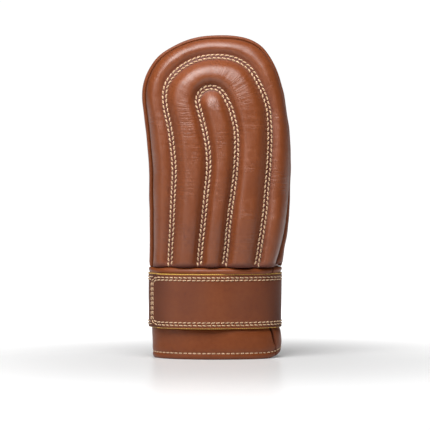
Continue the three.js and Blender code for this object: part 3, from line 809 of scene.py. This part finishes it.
# angles round the cuff, in degrees from its right side
GUSSET_PALM, GUSSET_FRONT, BACK_LEFT = -32, 32, 188
LIFT_START, BACK_LIFT_OVER, SEAM_LEAN, SEAM_GAPE = 45, 26, 8, 3.2

cuff_rows = table(("at", "centre", "half", "front", "palm"), [
    (0.00, -0.008, 0.986, 0.985, 0.97), (0.16, 0.000, 0.998, 1.000, 1.00),
    (0.29, -0.012, 0.998, 0.985, 0.99), (0.35, -0.030, 0.984, 0.950, 0.96),
    (0.65, -0.032, 0.982, 0.940, 0.95), (0.90, -0.030, 0.984, 0.940, 0.95),
    (0.93, -0.030, 0.988, 0.940, 0.95), (0.965, -0.027, 1.010, 0.943, 0.955),
    (1.00, -0.024, 1.022, 0.945, 0.96)])
print("cuff width in mm:", round(2 * CUFF_HALF_WIDTH, 1))


# %% Outline of the cuff
def cuff_at(degrees, z, grow=0.0):
    at = z / CUFF_TOP
    turn_at = np.radians(degrees)
    half = CUFF_HALF_WIDTH * along(cuff_rows, "half", at) + grow
    deep = np.where(np.sin(turn_at) > 0, CUFF_FRONT * along(cuff_rows, "front", at),
                    CUFF_PALM * along(cuff_rows, "palm", at)) + grow
    middle = CUFF_HALF_WIDTH * along(cuff_rows, "centre", at)
    x_at = middle + half * signed_power(np.cos(turn_at), CUFF_POWER)
    y_at = -deep * signed_power(np.sin(turn_at), CUFF_POWER)
    return np.stack([x_at, y_at, z + 0 * x_at], axis=-1)


def palm_angle(x, z):
    """The angle round the cuff, on its palm side, of a place x from the middle."""
    at = z / CUFF_TOP
    from_middle = x - CUFF_HALF_WIDTH * along(cuff_rows, "centre", at)
    share = from_middle / (CUFF_HALF_WIDTH * along(cuff_rows, "half", at))
    return 360 - np.degrees(np.arccos(np.clip(signed_power(share, CUFF_ROUNDNESS / 2), -1, 1)))


# %% Slit, hem and leaning seam
def slit_half(z):
    closed = ease((z / CUFF_TOP - SLIT_CLOSES_FROM) / SLIT_CLOSES_OVER)
    return SLIT_WIDTH / 2 + (SEAM_GAP - SLIT_WIDTH) / 2 * closed


def edge_lift(degrees):
    """Height of the cuff's lower edge: on the floor in front, higher on the palm side."""
    front_part = FLAP_LIFT * ease((LIFT_START - degrees) / (LIFT_START - GUSSET_PALM))
    back_part = FLAP_LIFT * ease((degrees - BACK_LEFT) / BACK_LIFT_OVER)
    return np.where(degrees <= 180, front_part, back_part)


def raised(z, lift):
    return z + lift * np.maximum(1 - z / HEM_HEIGHT, 0)


hem_rows = table(("at", "swell"), [
    (0.0, -1.3), (0.6, -0.55), (1.4, -0.1), (2.6, 0.15), (4.2, 0.0), (5.4, -0.5),
    (6.6, -0.05), (9.0, 0.2), (16.0, 0.0), (60.0, 0.0)])
wall_z = np.concatenate([[0, 0.3, 0.6, 1.0, 1.4, 2, 2.6, 3.3, 4, 4.6, 5, 5.4, 5.8, 6.3, 7, 8],
                         np.linspace(9.5, 27, 12), np.linspace(30, 73, 12),
                         [74.2, 74.38, 74.45, 74.8, 75.4, 76, 76.6, 77.2, 77.8, 78.4],
                         [78.9, 79.3, 79.6, 79.85, CUFF_TOP]])
PANEL_GAP = math.degrees(SEAM_GAP / 2 / CUFF_HALF_WIDTH)


def front_seam(z):
    """The gusset's front seam leans in towards the hem."""
    return GUSSET_FRONT - SEAM_LEAN * np.maximum(1 - z / HEM_HEIGHT, 0)


def open_seam(z):
    """The seam gapes below the strap and closes at the hem."""
    return PANEL_GAP + SEAM_GAPE * ease((z - 9) / 6) * ease((40 - z) / 8)


# %% Surface of the cuff's leather
def hem_relief(points, gap):
    return wander(points, (22, 22, 16), 11) * 0.35 * fade_in(gap, 4)


def hem_painted_shade(points, gap):
    """Painted shade along the seams, where panels meet, and along the cuff's lowest edge."""
    seam = (1 - fade_in(gap, 1.5)) * 0.6
    return np.maximum(seam, np.clip(1 - points[..., 2] / 1.5, 0, 1) * 0.4)


def top_roll(row):
    """The cuff's upper edge is rolled over a cord, so its last millimetres round over."""
    near_top = np.clip(TOP_ROUND - (CUFF_TOP - row), 0, TOP_ROUND)
    return -(TOP_ROUND - np.sqrt(TOP_ROUND**2 - near_top**2))


def rolled(points, row):
    """Above the strap the cuff's front bulges into a soft roll, which leans back at its top."""
    roll = np.sqrt(np.maximum(1 - ((row - SOFT_ROLL_AT) / SOFT_ROLL_HALF) ** 2, 0))
    roll = roll * (row > CUFF_TOP - CUFF_STRIP)
    front_only = ease(-points[..., 1] / 12)
    return points * np.stack([1 + SOFT_ROLL_SIDE * roll + 0 * front_only,
                              1 + SOFT_ROLL_FRONT * roll * front_only,
                              np.ones_like(front_only)], axis=-1)


# %% A panel of the cuff
def cuff_piece(name, laid_out, length, step, soft_top=False, tone=painted_edge_shade):
    """A panel of the cuff and the function of its face. laid_out(share, row) gives a point's
    angle round the cuff and its height."""
    def face_at(share, row):
        points = cuff_at(*laid_out(share, row), along(hem_rows, "swell", row) + top_roll(row))
        return rolled(points, row) if soft_top else points

    def inside(share, row):
        return cuff_at(*laid_out(share, row), -CUFF_LEATHER + np.clip(HEM_TURN - row, 0, HEM_TURN))

    panel = leather_panel(name, face_at, shares(length, step, (0, 0.2, 0.5, 0.9, 1.4, 2.2)),
                          wall_z, inside=inside, relief=hem_relief, round_ends=(True, False),
                          tone=tone)
    return panel, face_at


def between_seams(start, end):
    def laid_out(share, row):
        first, last = start(row), end(row)
        degrees = first + (last - first) * share
        return degrees, raised(row, edge_lift(degrees))
    return laid_out


def up_to_slit(seam_degrees, side, corner_wide, corner_high):
    """A flap from its seam to the slit, with a rounded lower corner. side is 1 on the right."""
    def laid_out(share, row):
        seam_x = cuff_at(seam_degrees, row)[..., 0]
        from_slit = np.abs(SLIT_CENTRE + side * SLIT_WIDTH / 2 - seam_x) * (1 - share)
        in_corner = np.clip(1 - from_slit / corner_wide, 0, 1)
        corner = corner_high * (1 - np.sqrt(1 - in_corner**2))
        start = seam_degrees - side * PANEL_GAP
        base = FLAP_LIFT if side > 0 else edge_lift(start + (270 - start) * share)
        z_at = raised(row, base + corner)
        end = palm_angle(SLIT_CENTRE + side * slit_half(z_at), z_at)
        return start + (end - start) * share, z_at
    return laid_out


# %% Make the cuff
back_seams = between_seams(lambda z: front_seam(z) + open_seam(z),
                           lambda z: BACK_LEFT - PANEL_GAP + 0 * z)
cuff_back, _ = cuff_piece("cuff_back_leather", back_seams, 130, 2.0, True, hem_painted_shade)
dress(cuff_back, body_hide, "body_leather", "cuff_back")
gusset_seams = between_seams(lambda z: GUSSET_PALM + PANEL_GAP + 0 * z,
                             lambda z: front_seam(z) - PANEL_GAP)
cuff_gusset, _ = cuff_piece("cuff_gusset_leather", gusset_seams, 34, 2.0, True, hem_painted_shade)
dress(cuff_gusset, body_hide, "body_leather", "cuff_gusset")
right_part = up_to_slit(GUSSET_PALM + 360, side=1, corner_wide=21, corner_high=18)
right_flap, right_flap_at = cuff_piece("cuff_flap_right_leather", right_part, 55, 1.3)
dress(right_flap, palm_hide, "palm_leather", "cuff_flap_right")
left_part = up_to_slit(BACK_LEFT, side=-1, corner_wide=8, corner_high=8)
left_flap, left_flap_at = cuff_piece("cuff_flap_left_leather", left_part, 55, 1.3)
dress(left_flap, palm_hide, "palm_leather", "cuff_flap_left")


# %% Lining
def lining_at(share, z):
    first = palm_angle(SLIT_CENTRE + slit_half(z) + 0.6, z) - 360
    last = palm_angle(SLIT_CENTRE - slit_half(z) - 0.6, z)
    degrees = first + (last - first) * share
    return cuff_at(degrees, raised(z, edge_lift(degrees)), -CUFF_LEATHER - 0.7)


def lining_relief(points, gap):
    return wander(points, (12, 12, 20), 12) * 0.25 * fade_in(gap, 4)


lining_z = np.concatenate([[9, 9.4, 10, 11], np.linspace(14, CUFF_TOP - CUFF_STRIP, 26)])
lining = leather_panel("cuff_lining_twill", lining_at, shares(290, 2.5), lining_z, thickness=1.2,
                       edge=0.5, relief=lining_relief)
dress(lining, black_twill, "lining_cloth", "cuff_lining")

# %% [markdown]
# ## The wrist strap
# One wide band of leather is wound once round the wrist. Its free end has rounded corners and
# lies over its own beginning at the left front. What holds it down isn't seen, so nothing is
# made for it. The band follows the cuff, so its face is the cuff's outline set out by the
# leather's thickness, and by one layer more where it crosses its beginning.

# %% Strap
STRAP_HEIGHT = CUFF_TOP - STRAP_BOTTOM - CUFF_STRIP
STRAP_LEATHER = 2.6
STRAP_LIFT = 0.3
LAYER_GAP = 0.4
CORNER_LONG = 12
CORNER_HIGH = 9
STRAP_RADIUS = 38
STRAP_ROWS = (2.9, 5.2)
ROW_GROOVE = 4.0
STRAP_START, RAMP_START, RAMP_END, STRAP_END = 101, 432, 458, 517.2
print("strap height in mm:", round(STRAP_HEIGHT, 1))


def strap_lift(degrees):
    climb = ease((degrees - RAMP_START) / (RAMP_END - RAMP_START))
    return STRAP_LIFT + climb * (STRAP_LEATHER + LAYER_GAP)


def strap_at(degrees, level, grow=STRAP_LEATHER):
    """The strap's face. level runs from -1 at its lower edge to 1 at its upper edge."""
    to_end = np.radians(STRAP_END - degrees) * STRAP_RADIUS
    in_corner = np.clip(1 - to_end / CORNER_LONG, 0, 1)
    cut = CORNER_HIGH * (1 - np.sqrt(1 - in_corner**2))
    z_at = STRAP_BOTTOM + STRAP_HEIGHT / 2 + (STRAP_HEIGHT / 2 - cut) * level
    return cuff_at(degrees, z_at, strap_lift(degrees) + grow)


strap_turns = np.concatenate([
    [STRAP_START, STRAP_START + 0.3, STRAP_START + 0.8],
    np.linspace(STRAP_START + 1.6, STRAP_END - 20, 190)[:-1],
    STRAP_END - np.array([20, 18, 16.2, 14.5, 13, 11.5, 10, 8.6, 7.3, 6.1, 5, 4, 3.1, 2.3, 1.6, 1,
                          0.5, 0.2, 0])])
strap_levels = 2 * shares(STRAP_HEIGHT, 1.6, (0, 0.15, 0.4, 0.8, 1.3, 2.0, 2.8, 4, 5.2, 6.4)) - 1


def strap_shade_and_clouds(points, gap):
    """Painted shade at the free end and round the right side, and broad clouds of darker tone."""
    # painted shade: darker at the free end on the left and round the right side
    ends = ease((-points[..., 0] - 34) / 20) * 0.55 + ease((points[..., 0] - 22) / 40) * 0.45
    clouds = 0.12 + 0.22 * wander(points, (26, 26, 30), 15)
    return np.clip(painted_edge_shade(points, gap) + ends + clouds, 0, 0.9)


def strap_relief(points, gap):
    stitched = np.exp(-((gap - ROW_GROOVE) / 1.5) ** 2) * -0.35
    return stitched + wander(points, (30, 30, 24), 13) * 0.45 * fade_in(gap, 6)


strap = leather_panel("wrist_strap_leather", strap_at, strap_turns, strap_levels, edge=0.9,
                      relief=strap_relief, tone=strap_shade_and_clouds,
                      inside=lambda degrees, level: strap_at(degrees, level, 0.0))
dress(strap, strap_hide, "strap_leather", "wrist_strap")

# %% [markdown]
# ## Stitching
# Every seam is sewn in thick thread with long stitches. A stitch is a short round thread
# that dips into the leather at both ends. A row is laid along a path on a surface, which gives
# each stitch its place, its direction and the surface's normal. One mesh holds each seam's rows.


# %% Stitch rows
SIDES = 6
RING_ANGLES = [2 * math.pi * q / SIDES for q in range(SIDES)]


def stitch_rows(name, paths, material, pitch, length, radius=0.52, sink=0.25, lean=0.0):
    """Rows of stitches along paths. A path is an array of points and one of normals, in mm.
    lean is how far a stitch slants across its row; every second row slants the other way."""
    rings = ((0.0, 0.45, -0.9), (0.1, 0.8, 0.0), (0.3, 1.0, 0.3),
             (0.7, 1.0, 0.3), (0.9, 0.8, 0.0), (1.0, 0.45, -0.9))
    points, faces = [], []
    for row, (path, normal) in enumerate(paths):
        slant_by = lean * (1 if row % 2 else -1)
        run = walked(path)
        count = int(run[-1] / pitch)
        offset = (run[-1] - count * pitch + (pitch - length)) / 2

        def sample(values, s):
            return np.array([np.interp(s, run, values[:, k]) for k in range(3)])

        for k in range(count):
            base = len(points)
            for share, size, lift in rings:
                s = offset + k * pitch + share * length
                up = unit(sample(normal, s))
                ahead = unit(sample(path, min(s + 0.3, run[-1])) - sample(path, max(s - 0.3, 0)))
                side = np.cross(up, ahead)
                middle = (sample(path, s) + up * (radius * (lift + 0.55) - sink)
                          + side * slant_by * (share - 0.5))
                for a in RING_ANGLES:
                    points.append(middle + radius * size * (math.cos(a) * side + math.sin(a) * up))
            for r in range(len(rings) - 1):
                for q in range(SIDES):
                    a, b = base + r * SIDES + q, base + r * SIDES + (q + 1) % SIDES
                    faces.append((a, b, b + SIDES, a + SIDES))
            faces.append(tuple(base + q for q in reversed(range(SIDES))))
            last = base + (len(rings) - 1) * SIDES
            faces.append(tuple(last + q for q in range(SIDES)))
    dress(new_piece(name, points, faces), material, None)


def surface_path(place, u, v):
    """Points and outward normals along a path of parameters on a surface."""
    points = place(u, v)
    normal = unit(np.cross(place(u + 1e-3, v) - place(u - 1e-3, v),
                           place(u, v + 1e-3) - place(u, v - 1e-3)))
    return points, normal * np.sign(np.sum(normal * points * (1, 1, 0)))


# %% Quilting rows on the pad
def pad_floor(x, z):
    return np.stack([x, -pad_depth(x, z, 0.0), z], axis=-1)


def quilting_path(name, side):
    curve = valley_curve(name, *fan(np.linspace(0.004, 1, 60), 90))
    ahead = unit(np.gradient(curve, axis=0))
    shifted = curve + np.stack([-ahead[:, 1], ahead[:, 0]], axis=1) * side * ROW_SPACING / 2
    x_at, z_at = shifted[:, 0], shifted[:, 1]
    dx = pad_floor(x_at + 0.5, z_at) - pad_floor(x_at - 0.5, z_at)
    dz = pad_floor(x_at, z_at + 0.5) - pad_floor(x_at, z_at - 0.5)
    normal = unit(np.cross(dx, dz))
    return pad_floor(x_at, z_at), normal * -np.sign(normal[:, 1:2])


for arch, seam_name in (("outer", "quilting_outer_arch"), ("inner", "quilting_inner_arch")):
    stitch_rows(seam_name, [quilting_path(arch, -1), quilting_path(arch, 1)], cream_thread,
                pitch=4.2, length=3.75, radius=0.74, lean=0.8)


# %% Rows on the strap
strap_table = np.linspace(STRAP_START, STRAP_END, 900)
strap_run = walked(strap_at(strap_table, np.zeros_like(strap_table)))
print("strap length in mm:", round(float(strap_run[-1]), 1))


def strap_face(run, z_at):
    """The strap's face by the distance along it, in millimetres, and the height."""
    degrees = np.interp(run, strap_run, strap_table)
    return cuff_at(degrees, z_at, strap_lift(degrees) + STRAP_LEATHER)


def strap_outline(inset, first_run):
    """A path inset from the strap's edge: along the top, round the free end and back below."""
    end = strap_run[-1] - inset
    high = STRAP_BOTTOM + STRAP_HEIGHT - inset
    low = STRAP_BOTTOM + inset
    long, tall = CORNER_LONG - inset, CORNER_HIGH - inset
    a = np.linspace(0, math.pi / 2, 16)[1:]
    run = np.concatenate([np.linspace(first_run, end - long, 260),
                          end - long + long * np.sin(a), np.full(20, end),
                          end - long + long * np.cos(a),
                          np.linspace(end - long, first_run, 260)[1:]])
    z_at = np.concatenate([np.full(260, high), high - tall + tall * np.cos(a),
                           np.linspace(high - tall, low + tall, 22)[1:-1],
                           low + tall - tall * np.sin(a), np.full(259, low)])
    return surface_path(strap_face, run, z_at)


stitch_rows("strap_stitching", [strap_outline(inset, 3.0) for inset in STRAP_ROWS], cream_thread,
            pitch=4.2, length=3.6, radius=0.54, sink=0.35, lean=0.45)


# %% Bound edge of the strap
BEAD_MM = 1.6


def edge_cord(name, path, normal, radius, material):
    """A continuous bound edge: a thin round cord with a slight bead to every stitch."""
    run = walked(path)
    s = np.arange(0, run[-1], BEAD_MM / 4)
    centre, up = (np.stack([np.interp(s, run, values[:, k]) for k in range(3)], axis=1)
                  for values in (path, normal))
    side = np.cross(up, unit(np.gradient(centre, axis=0)))
    size = radius * (1 + 0.12 * np.sin(2 * math.pi * s / BEAD_MM))[:, None]
    points = np.stack([centre + size * (math.cos(a) * side + math.sin(a) * up)
                       for a in RING_ANGLES], axis=1)
    index = np.arange(len(s) * SIDES).reshape(len(s), SIDES)
    beside = np.roll(index, -1, axis=1)
    quads = np.stack([index[:-1], beside[:-1], beside[1:], index[1:]], axis=-1)
    faces = quads.reshape(-1, 4).tolist() + [index[0, ::-1].tolist(), index[-1].tolist()]
    dress(new_piece(name, points.reshape(-1, 3), faces), material, None)


def strap_edge(z_at):
    run = np.linspace(1.0, strap_run[-1] - CORNER_LONG + 2, 300)
    points, normals = surface_path(strap_face, run, np.full_like(run, z_at))
    return points - normals * 0.45, normals


edge_cord("strap_binding_top", *strap_edge(STRAP_BOTTOM + STRAP_HEIGHT - 0.1), 0.56, ochre_thread)
edge_cord("strap_binding_bottom", *strap_edge(STRAP_BOTTOM + 0.3), 0.36, ochre_thread)


# %% Rows on the cuff and on the palm
HEM_ROW = 5.4
POCKET_ROWS = (2.2, 5.0)
PALM_ROWS = (7.0, 9.8)
POCKET_ROW_REACH = 58.5


def cuff_row(start, end, height_above):
    def place(degrees, z_at):
        lifted = raised(z_at, edge_lift(degrees))
        return cuff_at(degrees, lifted, along(hem_rows, "swell", z_at))

    turns = np.linspace(start, end, 200)
    return surface_path(place, turns, np.full_like(turns, height_above))


def flap_row(place, height_above, in_from_slit):
    share = np.linspace(0.01, 1 - in_from_slit, 140)
    hem = surface_path(place, share, np.full_like(share, height_above))
    rows = np.linspace(height_above + 0.5, 60, 80)
    slit = surface_path(place, np.full_like(rows, 1 - in_from_slit), rows)
    return np.concatenate([hem[0], slit[0]]), np.concatenate([hem[1], slit[1]])


stitch_rows("cuff_hem_stitching", [cuff_row(GUSSET_PALM + 1, BACK_LEFT - 1, HEM_ROW),
                                   flap_row(right_flap_at, HEM_ROW, 0.09),
                                   flap_row(left_flap_at, HEM_ROW, 0.11)],
            cream_thread, pitch=4.2, length=3.5, radius=0.54)


def level_row(place, v):
    share = np.linspace(0.012, 0.988, 200)
    return surface_path(place, share, np.full_like(share, v))


def pocket_row(above):
    def place(x_in, z_in):
        x_at = x_in + body_centre(z_in)
        up = np.maximum(z_in - ARCH_START, 0) / ARCH_RISE
        filled = np.abs(x_in / BODY_HALF_WIDTH) ** BODY_ROUNDNESS + up**BODY_ROUNDNESS
        y_at = PALM_DEPTH * np.maximum(1 - filled, 0) ** (1 / BODY_ROUNDNESS)
        return np.stack([x_at, y_at, slant(x_at, z_in)], axis=-1)

    s = np.linspace(-1, 1, 200) * POCKET_ROW_REACH
    return surface_path(place, s, np.full_like(s, ARCH_START + above))


palm_seams = [pocket_row(above) for above in POCKET_ROWS]
palm_seams += [level_row(palm_outside, PALM_TOP - below) for below in PALM_ROWS]
stitch_rows("palm_seam_stitching", palm_seams, cream_thread, pitch=3.6, length=2.7)

# %% [markdown]
# ## Floor, light and camera
# The mitt stands on a pale, slightly glossy table that runs on into white. Large soft lights give
# leather its broad highlights. The key softbox is in front, high on the left. A low one further
# left brightens the sides of the channels, one above lights the top, and a small one hangs close
# over the fingers, so that the light falls off towards the cuff.

# %% Floor
def pale_table():
    """White satin acrylic, which scatters light and mirrors it a little. It is greyest just before
    the mitt, where the soft shadow lies, partly cast and partly painted. From there a painted glow
    grows, standing in for light on the table, so that it runs on into the white backdrop. Close to
    the camera the glow fades, since a glow there lays a veil of reflected white on the leather."""
    material, tree = new_material("white satin acrylic tabletop")
    place = add(tree, "ShaderNodeTexCoord").outputs["Object"]
    shadow = add(tree, "ShaderNodeVectorMath", {"operation": "SUBTRACT", 1: (0, -0.09, 0)},
                 {0: place})
    away = add(tree, "ShaderNodeVectorMath", {"operation": "LENGTH"}, {0: shadow.outputs[0]})
    depth = add(tree, "ShaderNodeSeparateXYZ", None, {0: place}).outputs["Y"]
    spread = add(tree, "ShaderNodeMapRange",
                 {**SMOOTH, "From Min": 0.02, "From Max": 0.42, "To Min": 0.0, "To Max": 0.46},
                 {"Value": away.outputs["Value"]})
    behind = add(tree, "ShaderNodeMapRange",
                 {**SMOOTH, "From Min": -0.02, "From Max": 0.5, "To Min": 1.0, "To Max": 2.2},
                 {"Value": depth})
    pool = add(tree, "ShaderNodeMapRange",
               {**SMOOTH, "From Min": 0.40, "From Max": 0.60, "To Min": 1.0, "To Max": 0.0},
               {"Value": away.outputs["Value"]})
    beyond = add(tree, "ShaderNodeMapRange", {**SMOOTH, "From Min": 0.0, "From Max": 0.3},
                 {"Value": depth})
    reach = add(tree, "ShaderNodeMath", {"operation": "MAXIMUM"},
                {0: pool.outputs[0], 1: beyond.outputs[0]})
    # painted glow: emission that stands in for light on the table, held back near the mitt
    glow = add(tree, "ShaderNodeMath", {"operation": "MULTIPLY"},
               {0: spread.outputs[0], 1: behind.outputs[0]})
    painted_glow = add(tree, "ShaderNodeMath", {"operation": "MULTIPLY"},
              {0: glow.outputs[0], 1: reach.outputs[0]})
    cloudy = add(tree, "ShaderNodeTexNoise", {"Scale": 8.0, "Detail": 2.0}, {"Vector": place})
    smooth = add(tree, "ShaderNodeMapRange", {"To Min": 0.30, "To Max": 0.36},
                 {"Value": cloudy.outputs["Fac"]})
    shader = add(tree, "ShaderNodeBsdfPrincipled",
                 {"Base Color": linear("#d5d5d5"), "Emission Color": linear("#ffffff"), "IOR": 1.3},
                 {"Roughness": smooth.outputs[0], "Emission Strength": painted_glow.outputs[0]})
    add(tree, "ShaderNodeOutputMaterial", None, {"Surface": shader.outputs[0]})
    return material


FLOOR_REACH = 6  # metres from the middle to each side
corners = [(x * FLOOR_REACH, y * FLOOR_REACH, 0) for x, y in ((-1, -1), (1, -1), (1, 1), (-1, 1))]
floor_mesh = bpy.data.meshes.new("tabletop")
floor_mesh.from_pydata(corners, [], [(0, 1, 2, 3)])
floor = bpy.data.objects.new("tabletop", floor_mesh)
bpy.context.collection.objects.link(floor)
floor_mesh.materials.append(pale_table())
print("table:", floor_mesh.materials[0].name)


# %% Lights
def soft_light(name, place, target, width, high, radiance):
    """A softbox. radiance is its brightness, where white paper in the same light is about 1."""
    data = bpy.data.lights.new(name, "AREA")
    data.shape, data.size, data.size_y = "RECTANGLE", width, high
    data.energy = radiance * math.pi * width * high
    light = bpy.data.objects.new(name, data)
    light.location = place
    light.rotation_euler = (Vector(target) - Vector(place)).to_track_quat("-Z", "Y").to_euler()
    light.visible_camera = False
    bpy.context.collection.objects.link(light)
    print(name, round(data.energy, 2), "W")


MIDDLE = (0, 0, 0.15)
FINGERS = (0, 0, 0.24)
soft_light("key softbox", (-0.46, -0.80, 1.12), MIDDLE, 0.80, 0.75, 6.1)
soft_light("low softbox at the left", (-0.95, -0.78, 0.42), MIDDLE, 0.50, 0.50, 2.2)
soft_light("softbox above", (-0.22, -0.36, 1.43), MIDDLE, 0.95, 0.55, 2.2)
soft_light("near softbox over the fingers", (-0.01, -0.33, 0.62), FINGERS, 0.55, 0.42, 5.1)

# %% World
world = bpy.data.worlds.new("white studio")
world.use_nodes = True
sky_tree = world.node_tree
sky_tree.nodes.clear()
facing = add(sky_tree, "ShaderNodeTexCoord").outputs["Generated"]
split = add(sky_tree, "ShaderNodeSeparateXYZ", None, {0: facing})
low_down = add(sky_tree, "ShaderNodeMapRange",
               {**SMOOTH, "From Min": 0.12, "From Max": 0.24, "To Min": 1.0, "To Max": 0.0},
               {"Value": split.outputs["Z"]})
behind = add(sky_tree, "ShaderNodeMapRange", {**SMOOTH, "From Min": 0.86, "From Max": 0.97},
             {"Value": split.outputs["Y"]})
backdrop = add(sky_tree, "ShaderNodeMath", {"operation": "MULTIPLY"},
               {0: low_down.outputs[0], 1: behind.outputs[0]})
strength = add(sky_tree, "ShaderNodeMapRange", {"To Min": 0.08, "To Max": 1.02},
               {"Value": backdrop.outputs[0]})
sky = add(sky_tree, "ShaderNodeBackground", {"Color": (1, 1, 1, 1)},
          {"Strength": strength.outputs[0]})
add(sky_tree, "ShaderNodeOutputWorld", None, {"Surface": sky.outputs[0]})
bpy.context.scene.world = world
bpy.context.scene.view_settings.view_transform = "Standard"

# %% Camera
CAMERA_DISTANCE = 1.857
FRAME_HEIGHT = 0.3805
SENSOR_WIDTH = 36
camera_data = bpy.data.cameras.new("camera")
camera_data.sensor_width = SENSOR_WIDTH
camera_data.lens = SENSOR_WIDTH * CAMERA_DISTANCE / FRAME_HEIGHT
camera_data.clip_end = 50
camera = bpy.data.objects.new("camera", camera_data)
camera.location = (-0.0013, -CAMERA_DISTANCE, 0.162)
looked_at = Vector((-0.0013, 0, 0.1256))
camera.rotation_euler = (looked_at - camera.location).to_track_quat("-Z", "Y").to_euler()
bpy.context.collection.objects.link(camera)
bpy.context.scene.camera = camera
print("lens:", round(camera_data.lens, 1), "mm")
